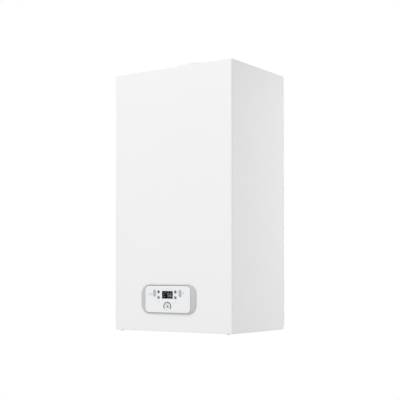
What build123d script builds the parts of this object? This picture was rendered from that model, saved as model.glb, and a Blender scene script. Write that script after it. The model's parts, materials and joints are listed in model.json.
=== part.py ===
from build123d import *
import math
import os

os.makedirs("parts", exist_ok=True)

# A wall-hung combi boiler. X runs to the right seen from the front, Y into the wall and Z up.
# The origin lies on the wall, midway between the bracket's two screws. Depths count from the wall.

# Fits between pieces
running = 0.05  # a shaft in its bore, each side
push_fit = 0.05  # a piece pushed into a hole, each side
clearance = 0.3  # pieces that move past each other
swing_gap = 0.8  # round the fascia, which swings out through the bezel

# Casing: one sheet folded round the front and both sides
casing_width = 394.0
casing_height = 720.0
casing_depth = 280.0
casing_top = 45.0  # above the bracket's screws
casing_sheet = 1.0
casing_corner = 6.0
casing_edge = 1.5
casing_rear = 9.2  # depth of its rear edge
front_flange = 18.0
side_flange_top = 18.0
side_flange_bottom = 12.0
rear_return = 11.0
casing_bottom = casing_top - casing_height
casing_x = casing_width / 2
casing_inner_depth = casing_depth - casing_sheet
return_x = casing_x - rear_return

# Chassis
chassis_sheet = 1.2
chassis_gap = 0.5  # each side, inside the casing's rear returns
chassis_x = return_x - chassis_gap
chassis_inner_x = chassis_x - chassis_sheet
panel_rear = 6.0
panel_front = panel_rear + chassis_sheet
panel_side_gap = 2.5
panel_rise = 10.0
panel_x = casing_x - panel_side_gap
panel_bottom = casing_bottom + panel_rise
panel_edge_gap = 0.5  # the back panel's rear flanges to the wall
top_z = casing_top - casing_sheet - clearance - chassis_sheet
top_front = casing_depth - front_flange
top_flange = 28.0
top_side_flange = 14.0
seam_flange = 19.0
seam_screw_inset = 52.5
tray_rise = 25.0
tray_z = casing_bottom + tray_rise  # top of the tray's floor
tray_floor = tray_z - chassis_sheet
tray_front = 190.0
tray_flange = 20.0
tray_screw_rise = 12.0
tray_screw_tip = 2.5
arm_bottom = casing_bottom + casing_sheet + clearance
arm_front_gap = 4.0
arm_rise_rear = 60.0
arm_rise_front = 12.0
arm_front = casing_depth - arm_front_gap
arm_top_rear = tray_z + arm_rise_rear
arm_top_front = tray_z + arm_rise_front
arm_slope_start = 60.0
arm_slope_end = 220.0
tab_width = 15.0
tab_depth = 18.0

# Wall bracket and the hooks that hang on it
bracket_sheet = 2.0
bracket_width = 300.0
bracket_pitch = 240.0
bracket_hole_r = 4.5
bracket_drop = 22.0
bracket_rise = 20.0
bracket_reach = 5.5
bracket_lip = 10.0
hook_sheet = 1.2
hook_width = 70.0
hook_centre = 85.0
hook_drop = 7.0
hook_back = 1.5
lip_top = bracket_rise + bracket_lip
buffer_r = 10.0
buffer_inset = 32.5
buffer_x = panel_x - buffer_inset
buffer_rise = 35.0
buffer_z = casing_bottom + buffer_rise

# M4 screws
screw_r = 1.95
screw_hole_r = 2.0
screw_head_r = 3.9
screw_head_h = 2.2
screw_length = 6.0

# Casing fixings
stud_x = 150.0
stud_z = 28.0
stud_ball_r = 4.0
stud_neck_r = 3.0
stud_plate_r = 8.0
stud_plate = 1.5
stud_reach = 25.0
socket_r = 6.0
socket_head_r = 9.0
socket_head = 2.0
socket_length = 12.0
casing_screw_x = chassis_x - tab_width / 2
casing_screw_back = 11.0  # behind the casing's front
casing_screw_depth = casing_depth - casing_screw_back
slot_gap = 0.35
slot_r = screw_r + slot_gap
casing_screw_length = 8.0
seal_width = 6.0
seal_inset = 1.0

# Flue collar, for a 60 mm flue inside a 100 mm air duct
flue_x = 0.0
flue_back = 130.0  # behind the casing's front
flue_depth = casing_depth - flue_back
collar_rise = 24.0
collar_top = casing_top + collar_rise
rim_r = 62.0
rim_h = 7.0
collar_r = 61.0
collar_hollow_r = (53.5, 58.5)
collar_hollow_top = 60.0
duct_r = 50.5
collar_base_r = 74.0
collar_base = 4.0
collar_screw_r = 68.0
collar_screw_angle = 45.0
rim_hole_r = 1.6
rim_hole_circle_r = 56.5
rim_hole_deep = 6.5
flue_socket_r = 30.25
flue_socket_wall = 2.75
flue_socket_sunk = 2.0
flue_socket_top = collar_top - flue_socket_sunk
flue_socket_bottom = 5.0
collar_rib = 3.0
collar_rib_z = (50.0, 60.0)
collar_rib_root = 1.0
test_point_r = 6.0
test_point_h = 8.0
test_point_circle_r = 65.0
test_point_angles = (60.0, 120.0)
flue_opening_r = 54.0
flue_pipe_r = 28.5
flue_pipe_wall = 2.0
flue_overlap = 15.0
flue_stop_gap = 2.0
flue_socket_stop = flue_socket_bottom + flue_overlap + flue_stop_gap

# Heat exchanger
he_x = 40.0
he_z = -190.0
he_r = 95.0
he_wall = 4.0
he_rear = 35.0
he_back = 75.0  # behind the casing's front
he_front = casing_depth - he_back
he_flange_r = 102.0
he_flange = 6.0
he_foot_r = 6.0
he_foot_circle_r = 84.0
exhaust_stub_top = -75.0
port_r = 12.0
port_bore_r = 9.0
port_depth = 100.0
port_offset = 40.0
flow_port_z = he_z + port_offset
return_port_z = he_z - port_offset
port_length = 10.0
drain_x = 75.0
drain_depth = 60.0
drain_r = 11.0
drain_bore_r = 8.0
drain_length = 18.0
coil_r = 76.0
coil_tube = 14.0
coil_tube_flat = 11.0
coil_pitch = 16.0
coil_first = 55.0
coil_front_room = 37.5
coil_turns = 1 + int((he_front - coil_first - coil_front_room) / coil_pitch)
coil_header_inset = 2.0
coil_header_half = 8.0

# Burner door, with the duct that feeds it
door_thick = 8.0
door_front = he_front + door_thick
door_stud_r = 2.95
door_stud_hole_r = 3.2
door_stud_circle_r = 96.5
door_studs = 6
door_stud_length = 16.0
nut_flats = 10.0
nut_h = 5.0
duct_half = 22.0
duct_wall = 3.0
duct_thick = 30.0
duct_front = door_front + duct_thick
duct_bottom = -310.0
duct_head_r = 34.0
insulation = 16.0
insulation_r = 88.0
insulation_gap = 0.2
insulation_hole_gap = 1.0
burner_r = 35.0
burner_wall = 1.2
burner_end_room = 45.0
burner_length = he_front - he_rear - burner_end_room
burner_flange_r = 44.0
burner_flange = 1.8
electrode_circle_r = 50.0
electrode_angle = 30.0
ceramic_r = 4.0
ceramic_out = 23.0
electrode_tip_r = 1.0
electrode_tip = 78.0
electrode_plate = 2.0
electrode_plate_x = (-6.0, 10.0)
electrode_plate_half = 8.0

# Fan
fan_x = 0.0
fan_z = -385.0
fan_r = 65.0
fan_wall = 3.0
fan_rear = he_front
fan_front = duct_front
fan_inlet_r = 26.0
impeller_r = 52.0
impeller_blades = 12
impeller_blade = 2.0
impeller_blade_centre = 33.8
impeller_blade_length = 31.2
impeller_lean = 25.0
impeller_front_gap = 6.0
impeller_back_gap = 4.0
impeller_hub_r = 10.0
fan_shaft_r = 3.0
fan_shaft_short = 4.0  # ends this far inside the motor's front
shaft_end_gap = 1.0
fan_motor_r = 38.0
fan_motor_length = 23.0
fan_motor_round = 4.0

# Air intake: silencer box and mixing venturi
venturi_r = 34.0
venturi_bore_r = 26.0
venturi_throat_r = 18.0
venturi_mouth = 18.0
silencer_half = 50.0
silencer_rear = 62.0
silencer_front = 140.0
silencer_z = (-450.0, -320.0)
silencer_wall = 2.0
silencer_round = 10.0
spout_half = 20.0
spout_depth = (80.0, 130.0)
spout_height = 20.0

# Gas line
gas_x = 0.0
gas_depth = 158.0
gas_port_r = 9.0
gas_port_wall = 2.0
gas_port_bottom = -430.0
valve_half = 32.0
valve_thick = 66.0
valve_depth = (gas_depth - valve_thick / 2, gas_depth + valve_thick / 2)
valve_z = (-530.0, -458.0)
valve_neck_r = 12.0
valve_neck = 8.0
valve_coil_r = 14.0
valve_coil_x = 16.0
valve_coil_length = 30.0
valve_cap_r = 6.0
valve_cap_drop = 12.0
valve_cap = 8.0
valve_round = 4.0
gas_pipe_r = 9.0
gas_pipe_bore_r = 8.0
gas_bend = 25.0
gas_offset = (28.0, 68.0)  # where it steps back to the tails, below the valve

# Tails under the boiler
tail_depth = 120.0
tail_pitch = 65.0
tail_end_gap = 1.0
tail_end = casing_bottom + tail_end_gap
tail_hex = 6.0
tail_hex_step = 3.0
tail_wall = 3.0
tail_rise = 10.0
tail_top = tray_z + tail_rise
thread_34_r = 13.2
thread_12_r = 10.48
tail_body_34_r = 12.0
tail_body_12_r = 9.5
tail_hole_gap = 0.3
spigot_gap = 1.0
spigot_top = tray_floor - spigot_gap

# Water blocks
block_height = 40.0
block_z = (tail_top, tail_top + block_height)
block_depth = (88.0, 152.0)
flow_block_x = (-160.0, -45.0)
return_block_side_gap = 17.3
return_block_x = (45.0, chassis_inner_x - return_block_side_gap)
block_round = 4.0
riser_rise = 10.0
pipe_boss = 2.0
pipe_boss_h = 12.0
hot_bore_deep = 25.0
return_bore_deep = 30.0
riser_x = 62.0
riser_half = 12.0
riser_depth = (70.0, 100.0)
riser_top = -532.0
plate_rear = 22.0
plate_x = 95.0
plate_z = (-598.0, -526.0)
plate_corner = 20.0
plate_end = 2.0
plate_inset = 1.5
plate_count = 10

# Diverter valve
diverter_x = -2 * tail_pitch
diverter_r = 24.0
diverter_bore_r = 15.0
diverter_top = -560.0
diverter_motor_r = 22.0
diverter_motor_top = -505.0
stem_r = 3.0
stem_z = (-628.0, -556.0)
stem_disc_r = 12.0
stem_disc = 5.0
stem_discs_z = (-625.0, -600.0)
stem_end_gap = 8.0
diverter_floor = 4.0
diverter_motor_round = 3.0
diverter_plug_half = 8.0
diverter_plug_reach = 30.0
diverter_plug_rise = (8.0, 26.0)

# Pump
pump_x = 130.0
pump_z = -555.0
pump_r = 38.0
pump_depth = (75.0, 125.0)
pump_chamber_r = 30.0
pump_chamber_wall = 8.0
pump_neck_half = 18.0
pump_neck_back = 5.0
pump_outlet_wall = 3.0
suction_offset = 10.0
suction_sink = 10.0
outlet_sink = 10.0
pump_motor_r = 42.0
pump_motor_front = 186.0
pump_cap_r = 30.0
pump_cap = 4.0
pump_motor_round = 4.0
rotor_r = 27.0
rotor_blades = 6
rotor_blade = 2.0
rotor_blade_centre = 16.2
rotor_blade_length = 18.9
rotor_lean = 30.0
rotor_hub_r = 8.0
rotor_depth = (92.0, 104.0)
rotor_shaft_r = 4.0
rotor_shaft_end = 168.0
pump_box_half = 22.0
pump_box_depth = (135.0, 180.0)
pump_box_top = -498.0
vent_x = 108.0
vent_neck_r = 6.0
vent_neck_rise = 20.0
vent_r = 12.0
vent_z = (-508.0, -478.0)

# Pipes
pipe_r = 11.0
pipe_bore_r = 10.0
flow_pipe_x = -88.0
return_pipe_x = 155.0
flow_bend = 20.0
return_bend = 16.0
return_pipe_bottom = -515.0

# Safety valve and filling tap, between the cold inlet and the heating return
service_x = 1.5 * tail_pitch
safety_z = -620.0
safety_r = 13.0
safety_front = 172.0
safety_spindle_r = 3.0
safety_spindle = 8.0
safety_boss = 2.0
discharge_r = 7.0
discharge_spigot_r = 7.5
discharge_bore_r = 6.0
discharge_depth = 163.0
knob_r = 13.0
knob_length = 19.7
knob_grooves = 8
knob_groove_r = 2.0
tap_knob_r = 11.0
tap_knob_h = 13.7
tap_knob_rise = 4.0
tap_knob_bottom = casing_bottom + tap_knob_rise
tap_spindle_r = 4.0
tap_bore_deep = 10.0
tap_end_gap = 1.0
tap_bore_top = tail_top + tap_bore_deep
tap_spindle_top = tap_bore_top - tap_end_gap
tap_hole_r = 4.6

# Flow turbine in the cold inlet
turbine_x = tail_pitch
turbine_bore_r = 9.0
turbine_bore_deep = 34.0
turbine_bore_top = tail_top + turbine_bore_deep
turbine_r = 8.2
turbine_hub_r = 3.2
turbine_rise = (8.0, 22.0)
turbine_z = (tail_top + turbine_rise[0], tail_top + turbine_rise[1])
turbine_blades = 4
turbine_blade = 1.2
turbine_pin_r = 1.5
turbine_web = 3.0
turbine_web_rise = (4.0, 8.0)
turbine_web_root = 1.0
turbine_pin_ends = (1.0, 6.0)

# Expansion vessel
vessel_side_gap = 17.0
vessel_inner_x = 106.0
vessel_half = (casing_x - vessel_side_gap - vessel_inner_x) / 2
vessel_x = -(vessel_inner_x + vessel_half)
vessel_depth = (30.0, 240.0)
vessel_z = (-430.0, -20.0)
vessel_corner = 45.0
vessel_taper = 6.0
vessel_hollow_taper = 20.0
vessel_wall = 2.0
vessel_round = 12.0
vessel_rim = 6.0
vessel_rim_thick = 3.0
vessel_port_x = -150.0
vessel_port_depth = 150.0
vessel_port_r = 8.0
vessel_port = 12.0
shelf_depth = 110.0
shelf_half = 30.0
shelf_flange = 14.0
expansion_r = 5.0
expansion_bore_r = 4.0
expansion_depth = 95.0
expansion_bend = 25.0
expansion_offset = (22.0, 60.0)  # where it steps back, below the vessel's port

# Condensate trap
trap_x = 110.0
trap_depth = 48.0
trap_r = 25.0
trap_z = (-465.0, -345.0)
trap_wall = 2.0
trap_neck_r = 9.0
trap_neck = 8.0
trap_outlet_r = 10.0
trap_spigot_r = 10.75
trap_outlet_bore_r = 8.0
trap_cap_r = 28.0
trap_cap = 14.0
hose_r = 8.0
hose_bore_r = 6.0
hose_bend = 14.0
hose_straight = 12.0

# Cable gland in the tray
gland_x = -1.5 * tail_pitch
gland_depth = 168.0
gland_r = 8.0
gland_nut_flats = 20.0
gland_nut = 5.0
gland_dome_r = 9.0
gland_dome = 9.0
gland_round = 3.0
gland_bore_r = 4.0

# Control panel: where the photo shows it, from the casing's centre and bottom edge
control_x = -7.8
control_rise = 88.0
control_z = casing_bottom + control_rise
fascia_width = 151.5
fascia_height = 73.0
fascia_corner = 13.0
fascia_proud = 6.0
fascia_round = 1.2
fascia_wall = 2.5
bezel_width = 182.9
bezel_height = 79.8
bezel_corner = 26.0
bezel_edge = 2.4
bezel_proud = 5.4
bezel_crest = 1.2
bezel_neck = 2.0
bezel_window_gap = 0.15
bezel_barb = 1.0
bezel_barb_width = 14.0
bezel_barb_x = 45.0
window_width = fascia_width + 2 * (swing_gap + bezel_crest + bezel_window_gap)
window_height = fascia_height + 2 * (swing_gap + bezel_crest + bezel_window_gap)
window_corner = fascia_corner + swing_gap + bezel_crest + bezel_window_gap
fascia_front = casing_depth + fascia_proud
fascia_inside = fascia_front - fascia_wall

# Control box behind the fascia
box_side_gap = 4.3
box_rise = (15.0, 130.0)
box_back = 18.0  # behind the casing's front
box_x = chassis_inner_x - box_side_gap
box_bottom = casing_bottom + box_rise[0]
box_top = casing_bottom + box_rise[1]
box_rear = 200.0
box_front = casing_depth - box_back
box_wall = 2.5
box_lid = 2.0
fascia_base = 3.0
fascia_base_inset = 4.0
fascia_base_x = box_x - fascia_base_inset
hinge_back = 10.0
hinge_rise = 20.0
hinge_depth = casing_depth - hinge_back
hinge_z = casing_bottom + hinge_rise
hinge_r = 4.0
hinge_end_gap = 0.2
ear_wall = 3.0
ear_back = 30.0
ear_rise = 10.0
ear_depth = (casing_depth - ear_back, arm_front)
ear_top = hinge_z + ear_rise
vent_slots = 9
vent_slot = (3.0, 40.0)
vent_pitch = 12.0

# Display, keys and buttons, from the casing's centre and bottom edge
display_x = -7.6
display_rise = 100.1
display_z = casing_bottom + display_rise
display_width = 36.0
display_height = 20.5
display_corner = 1.2
display_gap = 0.15
display_flange = 2.0
display_flange_thick = 1.5
display_proud = 0.1
key_rise = 104.3
key_z = casing_bottom + key_rise
key_xs = {"left": -51.3, "right": 34.6}
key_length = 18.6
key_width = 8.8
key_proud = 1.0
key_thick = 5.5
key_gap = 0.3
key_pivot_back = 2.2
key_pivot_depth = fascia_inside - key_pivot_back
key_pivot_r = 1.2
key_pivot_half = 6.8
key_ear_x = (5.0, 7.0)
key_ear_half = 2.2
key_ear_reach = 1.7
button_places = {
    "upper_left": (-37.3, 108.0),
    "lower_left": (-37.3, 92.5),
    "upper_right": (19.2, 108.0),
    "lower_right": (19.2, 92.5),
}
button_r = 2.8
button_hole_r = 3.1
button_proud = 0.8
button_round = 0.4
button_flange_r = 4.2
button_flange = 0.8
button_stem_r = 1.5
button_stem = 2.9
button_travel = 1.0
groove_rise = 57.6
groove_z = casing_bottom + groove_rise
groove_width = 0.6
groove_length = 118.0
groove_deep = 0.5

# Pressure gauge
gauge_x = -7.7
gauge_rise = 68.5
gauge_z = casing_bottom + gauge_rise
gauge_hole_r = 9.4
gauge_gap = 0.1
gauge_can_r = 10.8
gauge_can_back = 12.0
gauge_can_rear = casing_depth - gauge_can_back
dial_sunk = 1.7
gauge_rim = 0.8
lens_thick = 0.6
scale_r = 11.5
scale_width = 1.8
scale_proud = 0.5
scale_from = -35.0
scale_to = 215.0
needle_angle = 122.0
needle_hub_r = 1.6
needle_thick = 0.5
needle_length = 7.2
needle_tail = 2.6
needle_width = 1.0
needle_pin_r = 0.5

# Circuit boards
board = 1.6
switch_half = 3.0
switch_gap = 0.2
display_board_x = (-74.0, 56.0)
display_board_rise = (83.0, 118.0)
display_board_z = (casing_bottom + display_board_rise[0], casing_bottom + display_board_rise[1])
board_post_r = 2.5
board_post_inset = 4.0
display_board_gap = 8.0
main_board_side_gap = 28.0
main_board_x = box_x - main_board_side_gap
main_board_inset = 8.0
standoff_length = 6.0
main_board_z = (box_bottom + main_board_inset, box_top - main_board_inset)
main_board_rear = box_rear + standoff_length
standoff_r = 3.0
standoff_inset = 8.0
standoff_rib_half = 1.0
relay_size = (16.0, 20.0, 14.0)
relay_xs = (-120.0, -90.0, -60.0, -30.0)
relay_rise = 78.0
relay_z = box_bottom + relay_rise
transformer_size = (46.0, 24.0, 40.0)
transformer_x = 110.0
transformer_rise = 60.0
transformer_z = box_bottom + transformer_rise
plug_size = (34.0, 12.0, 10.0)
plug_xs = (-110.0, -65.0, -20.0, 25.0)
plug_rise = 20.0
plug_z = box_bottom + plug_rise


# A plane facing the room at a depth from the wall; its own axes are X and Z.
def at_depth(depth):
    return Plane.XZ.offset(depth)


# A box between low and high values of x, depth and z.
def block(x, depth, z, mode=Mode.ADD):
    with Locations(((x[0] + x[1]) / 2, -(depth[0] + depth[1]) / 2, (z[0] + z[1]) / 2)):
        Box(x[1] - x[0], depth[1] - depth[0], z[1] - z[0], mode=mode)


# A round bar from front to back.
def drum(x, z, radius, depth, mode=Mode.ADD):
    with Locations(at_depth(depth[0]) * Pos(x, z)):
        Cylinder(radius, depth[1] - depth[0], align=(Align.CENTER, Align.CENTER, Align.MIN), mode=mode)


# An upright round bar.
def post(x, depth, radius, z, mode=Mode.ADD):
    with Locations((x, -depth, z[0])):
        Cylinder(radius, z[1] - z[0], align=(Align.CENTER, Align.CENTER, Align.MIN), mode=mode)


# A round bar from left to right.
def crossbar(x, depth, z, radius, mode=Mode.ADD):
    with Locations(Plane.YZ.offset(x[0]) * Pos(-depth, z)):
        Cylinder(radius, x[1] - x[0], align=(Align.CENTER, Align.CENTER, Align.MIN), mode=mode)


# A bent tube through points given as x, depth and z.
def tube(points, bend, outer, inner):
    with BuildLine() as route:
        FilletPolyline(*[(x, -depth, z) for x, depth, z in points], radius=bend)
    with BuildSketch(Plane(origin=route.line @ 0, z_dir=route.line % 0)) as section:
        Circle(outer)
        Circle(inner, mode=Mode.SUBTRACT)
    sweep(sections=section.sketch, path=route.wire())


# Points on a circle seen from the front, from an angle in degrees.
def around(x, z, radius, angle):
    turn = math.radians(angle)
    return x + radius * math.cos(turn), z + radius * math.sin(turn)


# --- Outer casing and what rides on it ---

with BuildPart() as outer_casing:
    block((-casing_x, casing_x), (casing_rear, casing_depth), (casing_bottom, casing_top))
    fillet(outer_casing.faces().sort_by(Axis.Y)[0].edges().filter_by(Axis.Z), casing_corner)
    top_rims = outer_casing.faces().sort_by(Axis.Z)[-1].edges().sort_by(Axis.Y)[:-1]
    bottom_rims = outer_casing.faces().sort_by(Axis.Z)[0].edges().sort_by(Axis.Y)[:-1]
    fillet(top_rims + bottom_rims, casing_edge)
    inside_depth = casing_inner_depth - casing_rear - casing_sheet
    with BuildSketch(Plane.XY.offset(casing_bottom + casing_sheet)):
        with Locations((0, -(casing_inner_depth + casing_rear + casing_sheet) / 2)):
            Rectangle(casing_width - 2 * casing_sheet, inside_depth)
        fillet(vertices().sort_by(Axis.Y)[:2], casing_corner - casing_sheet)
    extrude(amount=casing_height - 2 * casing_sheet, mode=Mode.SUBTRACT)
    open_back = (casing_rear, casing_rear + casing_sheet)
    block((-return_x, return_x), open_back, (casing_bottom, casing_top), Mode.SUBTRACT)
    open_depth = (casing_rear, casing_depth - front_flange)
    top_half = casing_x - side_flange_top
    bottom_half = casing_x - side_flange_bottom
    top_sheet = (casing_top - casing_sheet, casing_top)
    bottom_sheet = (casing_bottom, casing_bottom + casing_sheet)
    block((-top_half, top_half), open_depth, top_sheet, Mode.SUBTRACT)
    block((-bottom_half, bottom_half), open_depth, bottom_sheet, Mode.SUBTRACT)
    with BuildSketch(at_depth(casing_inner_depth)):
        with Locations((control_x, control_z)):
            RectangleRounded(window_width, window_height, window_corner)
    extrude(amount=casing_sheet, mode=Mode.SUBTRACT)
    for side in (-1, 1):
        slot_x = side * casing_screw_x
        post(slot_x, casing_screw_depth, slot_r, bottom_sheet, Mode.SUBTRACT)
        slot_depth = (casing_depth - front_flange, casing_screw_depth)
        block((slot_x - slot_r, slot_x + slot_r), slot_depth, bottom_sheet, Mode.SUBTRACT)
outer_casing.part.label = "outer_casing"
export_step(outer_casing.part, "parts/outer_casing.step")

# The bezel slopes up to a crest round the fascia and snaps into the casing's window.
opening_width = fascia_width + 2 * swing_gap
opening_height = fascia_height + 2 * swing_gap
opening_corner = fascia_corner + swing_gap
crest_width = opening_width + 2 * bezel_crest
crest_height = opening_height + 2 * bezel_crest
with BuildPart() as casing_bezel:
    with BuildSketch(at_depth(casing_depth)):
        with Locations((control_x, control_z)):
            RectangleRounded(bezel_width, bezel_height, bezel_corner)
    extrude(amount=bezel_edge)
    with BuildSketch(at_depth(casing_depth + bezel_edge)):
        with Locations((control_x, control_z)):
            RectangleRounded(bezel_width, bezel_height, bezel_corner)
    with BuildSketch(at_depth(casing_depth + bezel_proud)):
        with Locations((control_x, control_z)):
            RectangleRounded(crest_width, crest_height, opening_corner + bezel_crest)
    loft()
    with BuildSketch(at_depth(casing_inner_depth - bezel_neck)):
        with Locations((control_x, control_z)):
            RectangleRounded(crest_width, crest_height, opening_corner + bezel_crest)
    extrude(amount=casing_sheet + bezel_neck)
    barb_depth = (casing_inner_depth - bezel_neck, casing_inner_depth - push_fit)
    for barb_x in (control_x - bezel_barb_x, control_x, control_x + bezel_barb_x):
        barb_half = window_height / 2 + bezel_barb
        barb_across = (barb_x - bezel_barb_width / 2, barb_x + bezel_barb_width / 2)
        block(barb_across, barb_depth, (control_z - barb_half, control_z + barb_half))
    with BuildSketch(at_depth(casing_inner_depth - bezel_neck)):
        with Locations((control_x, control_z)):
            RectangleRounded(opening_width, opening_height, opening_corner)
    extrude(amount=casing_sheet + bezel_neck + bezel_proud, mode=Mode.SUBTRACT)
casing_bezel.part.label = "casing_bezel"
export_step(casing_bezel.part, "parts/casing_bezel.step")

# Two ball studs behind the front's top corners
with BuildPart() as casing_studs:
    ball_depth = casing_inner_depth - stud_reach
    for side in (-1, 1):
        drum(side * stud_x, stud_z, stud_plate_r, (casing_inner_depth - stud_plate, casing_inner_depth))
        drum(side * stud_x, stud_z, stud_neck_r, (ball_depth, casing_inner_depth))
        with Locations((side * stud_x, -ball_depth, stud_z)):
            Sphere(stud_ball_r)
casing_studs.part.label = "casing_studs"
export_step(casing_studs.part, "parts/casing_studs.step")

# --- Chassis ---

with BuildPart() as wall_bracket:
    with BuildSketch(Plane.YZ.offset(-bracket_width / 2)):
        with BuildLine():
            Polyline(
                (0, -bracket_drop),
                (-bracket_sheet, -bracket_drop),
                (-bracket_sheet, bracket_rise - bracket_sheet),
                (-bracket_reach, bracket_rise - bracket_sheet),
                (-bracket_reach, lip_top),
                (bracket_sheet - bracket_reach, lip_top),
                (bracket_sheet - bracket_reach, bracket_rise),
                (0, bracket_rise),
                close=True,
            )
        make_face()
    extrude(amount=bracket_width)
    for side in (-1, 1):
        drum(side * bracket_pitch / 2, 0, bracket_hole_r, (0, bracket_sheet), Mode.SUBTRACT)
wall_bracket.part.label = "wall_bracket"
export_step(wall_bracket.part, "parts/wall_bracket.step")

# The back panel has flanges back to the wall at its sides, a seam flange at the top, two hooks
# and the shelf that carries the expansion vessel.
seam_screw_x = panel_x - seam_screw_inset
seam_screw_xs = (-seam_screw_x, 0.0, seam_screw_x)
seam_screw_depth = panel_front + seam_flange / 2
tray_screw_z = tray_z + tray_screw_rise
shelf_z = vessel_z[0] - vessel_rim
with BuildPart() as back_panel:
    block((-panel_x, panel_x), (panel_rear, panel_front), (panel_bottom, top_z))
    for side in (-1, 1):
        flange_x = sorted((side * panel_x, side * (panel_x - chassis_sheet)))
        block(flange_x, (panel_edge_gap, panel_front), (panel_bottom, top_z))
        hook_x = (side * hook_centre - hook_width / 2, side * hook_centre + hook_width / 2)
        block(hook_x, (panel_rear, panel_front), (lip_top - hook_drop, lip_top), Mode.SUBTRACT)
        block(hook_x, (hook_back, panel_front), (lip_top, lip_top + hook_sheet))
        block(hook_x, (hook_back, hook_back + hook_sheet), (lip_top - hook_drop, lip_top + hook_sheet))
    seam_x = (-chassis_inner_x, chassis_inner_x)
    block(seam_x, (panel_rear, panel_front + seam_flange), (top_z - chassis_sheet, top_z))
    for x in seam_screw_xs:
        post(x, seam_screw_depth, screw_hole_r, (top_z - chassis_sheet, top_z), Mode.SUBTRACT)
        drum(x, tray_screw_z, screw_hole_r, (panel_rear, panel_front), Mode.SUBTRACT)
    shelf_across = (vessel_x - shelf_half, vessel_x + shelf_half)
    block(shelf_across, (panel_front, shelf_depth), (shelf_z - chassis_sheet, shelf_z))
    for rib_x in shelf_across:
        rib_across = (rib_x - chassis_sheet / 2, rib_x + chassis_sheet / 2)
        block(rib_across, (panel_front, shelf_depth), (shelf_z - shelf_flange, shelf_z))
back_panel.part.label = "back_panel"
export_step(back_panel.part, "parts/back_panel.step")

with BuildPart() as top_panel:
    block((-chassis_x, chassis_x), (panel_rear, top_front), (top_z, top_z + chassis_sheet))
    block((-chassis_x, chassis_x), (top_front - chassis_sheet, top_front), (top_z - top_flange, top_z))
    for side in (-1, 1):
        flange_x = sorted((side * chassis_x, side * chassis_inner_x))
        block(flange_x, (panel_front + seam_flange, top_front), (top_z - top_side_flange, top_z))
        drum(side * stud_x, stud_z, socket_r, (top_front - chassis_sheet, top_front), Mode.SUBTRACT)
    post(flue_x, flue_depth, flue_opening_r, (top_z, top_z + chassis_sheet), Mode.SUBTRACT)
    for x in seam_screw_xs:
        post(x, seam_screw_depth, screw_hole_r, (top_z, top_z + chassis_sheet), Mode.SUBTRACT)
    for quarter in range(4):
        x, y = around(flue_x, -flue_depth, collar_screw_r, collar_screw_angle + 90 * quarter)
        post(x, -y, screw_hole_r, (top_z, top_z + chassis_sheet), Mode.SUBTRACT)
top_panel.part.label = "top_panel"
export_step(top_panel.part, "parts/top_panel.step")

# The bottom tray's side arms carry the control box's hinge and take the casing's screws.
tail_xs = [place * tail_pitch for place in (-2, -1, 0, 1, 2)]
tail_bodies = [tail_body_34_r, tail_body_12_r, tail_body_34_r, tail_body_12_r, tail_body_34_r]
tail_threads = [thread_34_r, thread_12_r, thread_34_r, thread_12_r, thread_34_r]
with BuildPart() as bottom_tray:
    floor = (tray_floor, tray_z)
    flange_z = (tray_z, tray_z + tray_flange)
    block((-chassis_x, chassis_x), (panel_front, tray_front), floor)
    flange_depth = (panel_front, panel_front + chassis_sheet)
    block((-chassis_inner_x, chassis_inner_x), flange_depth, flange_z)
    for side in (-1, 1):
        with BuildSketch(Plane.YZ.offset(side * chassis_x)):
            with BuildLine():
                Polyline(
                    (-panel_front, arm_bottom),
                    (-panel_front, arm_top_rear),
                    (-arm_slope_start, arm_top_rear),
                    (-arm_slope_end, arm_top_front),
                    (-arm_front, arm_top_front),
                    (-arm_front, arm_bottom),
                    close=True,
                )
            make_face()
        extrude(amount=-side * chassis_sheet)
        tab_x = sorted((side * chassis_x, side * (chassis_x - tab_width)))
        block(tab_x, (arm_front - tab_depth, arm_front), (arm_bottom, arm_bottom + chassis_sheet))
        post(
            side * casing_screw_x,
            casing_screw_depth,
            screw_hole_r,
            (arm_bottom, arm_bottom + chassis_sheet),
            Mode.SUBTRACT,
        )
        hinge_x = sorted((side * chassis_inner_x, side * chassis_x))
        crossbar(hinge_x, hinge_depth, hinge_z, hinge_r + running, Mode.SUBTRACT)
    for x, body_r in zip(tail_xs, tail_bodies):
        post(x, tail_depth, body_r + tail_hole_gap, floor, Mode.SUBTRACT)
    post(service_x, tail_depth, tap_hole_r, floor, Mode.SUBTRACT)
    post(service_x, discharge_depth, discharge_r + tail_hole_gap, floor, Mode.SUBTRACT)
    post(trap_x, trap_depth, trap_outlet_r + tail_hole_gap, floor, Mode.SUBTRACT)
    post(gland_x, gland_depth, gland_r + push_fit, floor, Mode.SUBTRACT)
    for x in seam_screw_xs:
        drum(x, tray_screw_z, screw_hole_r, (panel_front, panel_front + chassis_sheet), Mode.SUBTRACT)
bottom_tray.part.label = "bottom_tray"
export_step(bottom_tray.part, "parts/bottom_tray.step")

with BuildPart() as wall_buffers:
    for side in (-1, 1):
        drum(side * buffer_x, buffer_z, buffer_r, (0, panel_rear))
wall_buffers.part.label = "wall_buffers"
export_step(wall_buffers.part, "parts/wall_buffers.step")

collar_floor = top_z + chassis_sheet
collar_base_top = collar_floor + collar_base
with BuildPart() as chassis_screws:
    for x in seam_screw_xs:
        post(x, seam_screw_depth, screw_r, (collar_floor - screw_length, collar_floor))
        post(x, seam_screw_depth, screw_head_r, (collar_floor, collar_floor + screw_head_h))
        seat = panel_front + chassis_sheet
        drum(x, tray_screw_z, screw_r, (tray_screw_tip, seat))
        drum(x, tray_screw_z, screw_head_r, (seat, seat + screw_head_h))
    for quarter in range(4):
        x, y = around(flue_x, -flue_depth, collar_screw_r, collar_screw_angle + 90 * quarter)
        post(x, -y, screw_r, (collar_base_top - screw_length, collar_base_top))
        post(x, -y, screw_head_r, (collar_base_top, collar_base_top + screw_head_h))
chassis_screws.part.label = "chassis_screws"
export_step(chassis_screws.part, "parts/chassis_screws.step")

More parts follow.
